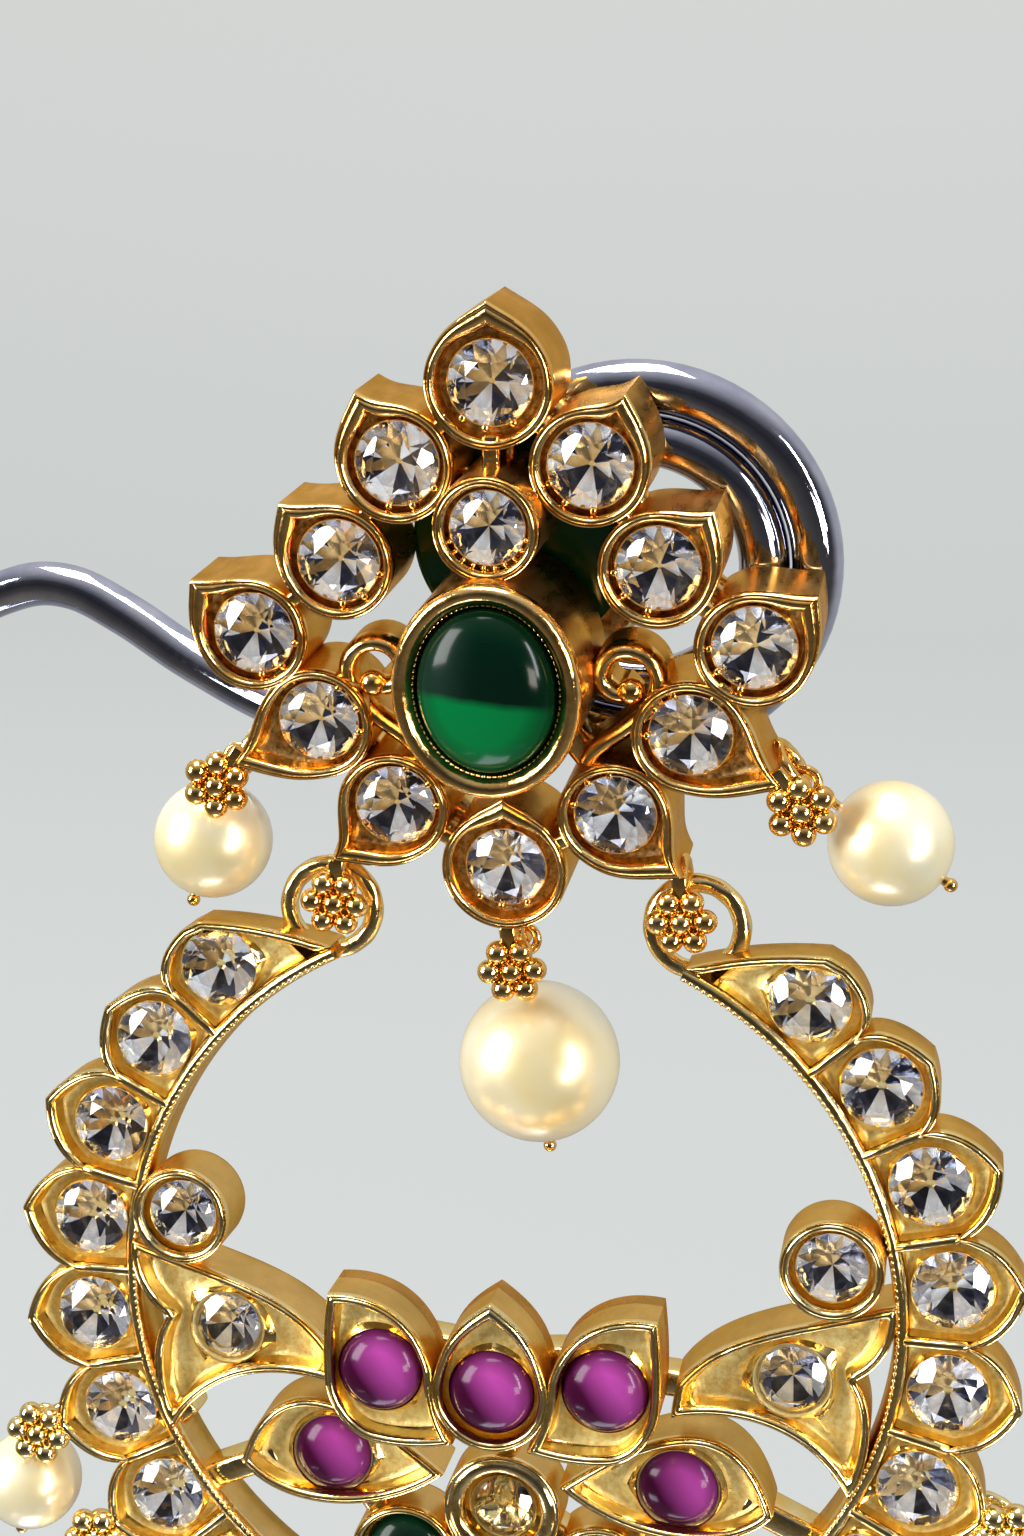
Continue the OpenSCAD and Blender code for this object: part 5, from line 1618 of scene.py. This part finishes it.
@dataclass
class Studio:
    """Camera, pale sweep and soft lights."""

    layout: Layout
    azimuth: float = 11.43
    elevation: float = 10.65
    roll: float = 0.277
    place: Triple = (15.30, -74.92, 7.58)
    focal: float = 2200.0
    picture_h: float = 1536.0
    sensor: float = 36.0
    dark_until: float = -0.35
    bright_from: float = 0.45
    front_room: tuple = ((0.0, (0.22, 0.2, 0.17)), (0.3, (0.07, 0.065, 0.06)), (0.5, (0.03, 0.03, 0.036)),
                         (0.66, (0.05, 0.05, 0.055)), (0.8, (0.24, 0.24, 0.25)), (1.0, (0.7, 0.7, 0.72)))
    back_room: tuple = ((0.0, (0.25, 0.25, 0.25)), (0.5, (0.5, 0.51, 0.52)), (0.7, (0.55, 0.55, 0.56)),
                        (1.0, (0.75, 0.75, 0.78)))

    def camera(self) -> None:
        """The camera at the photograph's place and angle."""
        az, el, roll = np.radians([self.azimuth, self.elevation, self.roll])
        forward = np.array([-np.sin(az) * np.cos(el), np.cos(az) * np.cos(el), -np.sin(el)])
        level = np.array([np.cos(az), np.sin(az), 0])
        right = np.cos(roll) * level + np.sin(roll) * np.cross(level, forward)
        m = placement(np.stack([right, np.cross(right, forward), -forward], axis=1),
                      (np.array(self.place) + [0, 0, self.layout.stud_h]) * MM)
        data = bpy.data.cameras.new("camera")
        data.sensor_fit = "VERTICAL"
        data.sensor_height = self.sensor
        data.lens = self.focal / self.picture_h * self.sensor
        data.clip_start = 0.005
        data.clip_end = 20.0
        camera = bpy.data.objects.new("camera", data)
        camera.matrix_world = Matrix(m.tolist())
        bpy.context.scene.collection.objects.link(camera)
        bpy.context.scene.camera = camera

    def sweep_sheet(self) -> None:
        """Floor and backdrop as one sheet that curves up behind the object, 3.6 m wide, glowing as painted
        light, a little darker on the floor than up the wall.
        """
        front, radius, wall, height = -1.4, 0.3, 0.75, 1.6
        bend = np.linspace(0, np.pi / 2, 24)[1:]
        floor = np.linspace(front, wall - radius, 40)
        y = np.concatenate([floor, wall - radius + radius * np.sin(bend), [wall]])
        z = np.concatenate([np.zeros(40), radius - radius * np.cos(bend), [height]])
        grid = xyz(np.linspace(-1.8, 1.8, 9)[:, None], y, z) / MM
        n = Nodes("pale_sweep")
        split = n.add("ShaderNodeSeparateXYZ", n.place)
        # The sheet's glow is painted darker on the floor and brighter up the wall, as painted light.
        tint = n.ramp(n.spread(split.outputs["Z"], 0.0, 1.0, 0.0, 0.3),
                      [(0.0, (0.51, 0.54, 0.53)), (0.5, (0.57, 0.59, 0.58)), (1.0, (0.6, 0.61, 0.58))])
        n.set(Roughness=0.9, Specular_IOR_Level=0.0, Base_Color=(0.1, 0.1, 0.1, 1.0), Emission_Strength=1.0,
              Emission_Color=tint)
        sheet = make_object("sweep_sheet", [grid_patch(grid, wrap_u=False)], [n.owner])
        sheet.visible_glossy = False

    def area(self, name: str, at: Triple, to: Triple, size: Pair, power: float, colour: Triple) -> None:
        """An area light of the given size in metres, aimed at a point."""
        data = bpy.data.lights.new(name, "AREA")
        data.shape = "RECTANGLE"
        data.size, data.size_y = size
        data.energy = power
        data.color = colour
        light = bpy.data.objects.new(name, data)
        z = np.array(at, float) - to
        z /= np.linalg.norm(z)
        x = np.cross([0, 0, 1], z)
        x /= np.linalg.norm(x)
        light.matrix_world = Matrix(placement(np.stack([x, np.cross(z, x), z], axis=1), at).tolist())
        bpy.context.scene.collection.objects.link(light)

    def world(self) -> None:
        """The room that the metal mirrors: bright above and behind, dark towards the camera."""
        n = Nodes("room", world=True)
        bpy.context.scene.world = n.owner
        split = n.add("ShaderNodeSeparateXYZ", n.place)
        height = n.spread(split.outputs["Z"], 0.0, 1.0, -1.0)
        depth = n.add("ShaderNodeMapRange", split.outputs["Y"], self.dark_until, self.bright_from,
                      interpolation_type="SMOOTHSTEP").outputs["Result"]
        n.set(Color=n.mix(depth, n.ramp(height, self.front_room), n.ramp(height, self.back_room)))

    def build(self) -> None:
        """Sets up the whole studio."""
        self.camera()
        self.sweep_sheet()
        self.world()
        aim = (0, 0, 0.045)
        self.area("top_box", (-0.05, -0.02, 0.5), (0, 0.0, 0.04), (0.3, 0.25), 2.2, (1.0, 0.98, 0.96))
        self.area("left_box", (-0.42, -0.26, 0.2), aim, (0.22, 0.34), 3.2, (1.0, 0.99, 0.97))
        self.area("right_strip", (0.42, -0.22, 0.16), aim, (0.05, 0.3), 1.2, (0.96, 0.98, 1.0))
        self.area("low_right", (0.36, -0.3, 0.0), aim, (0.12, 0.12), 0.7, (1.0, 0.93, 0.84))
        scene = bpy.context.scene
        scene.view_settings.view_transform = "Standard"
        scene.view_settings.look = "None"
        scene.view_settings.exposure = 0.0


def main() -> None:
    """Builds every sub-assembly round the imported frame."""
    logging.basicConfig(level=logging.INFO, format="%(name)s: %(message)s")
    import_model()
    layout, stones = Layout(), Stones()
    warm = CastGold("stud_gold", (1.0, 0.7, 0.28), (0.97, 0.54, 0.15), (0.84, 0.5, 0.18),
                    (0.4, 0.19, 0.05), (1.0, 0.66, 0.25))
    # The crescent's gold is the stud's gold painted paler and yellower, as painted light on the lower part.
    pale = CastGold("crescent_gold", (1.0, 0.81, 0.4), (1.0, 0.68, 0.22), (0.97, 0.63, 0.22),
                    (0.92, 0.6, 0.17), (1.0, 0.85, 0.36), floor_metal=0.5)
    palette = Palette(warm.make(), pale.make(), [Chrome().make()], ClearStone().make(),
                      [PearlSkin().make()])
    Studio(layout).build()
    Stand(layout, palette).build()
    Stud(layout, stones, palette).build()
    Crescent(layout, stones, palette).build()
    Pearls(layout, stones, palette).build()


if __name__ == "__main__":
    main()
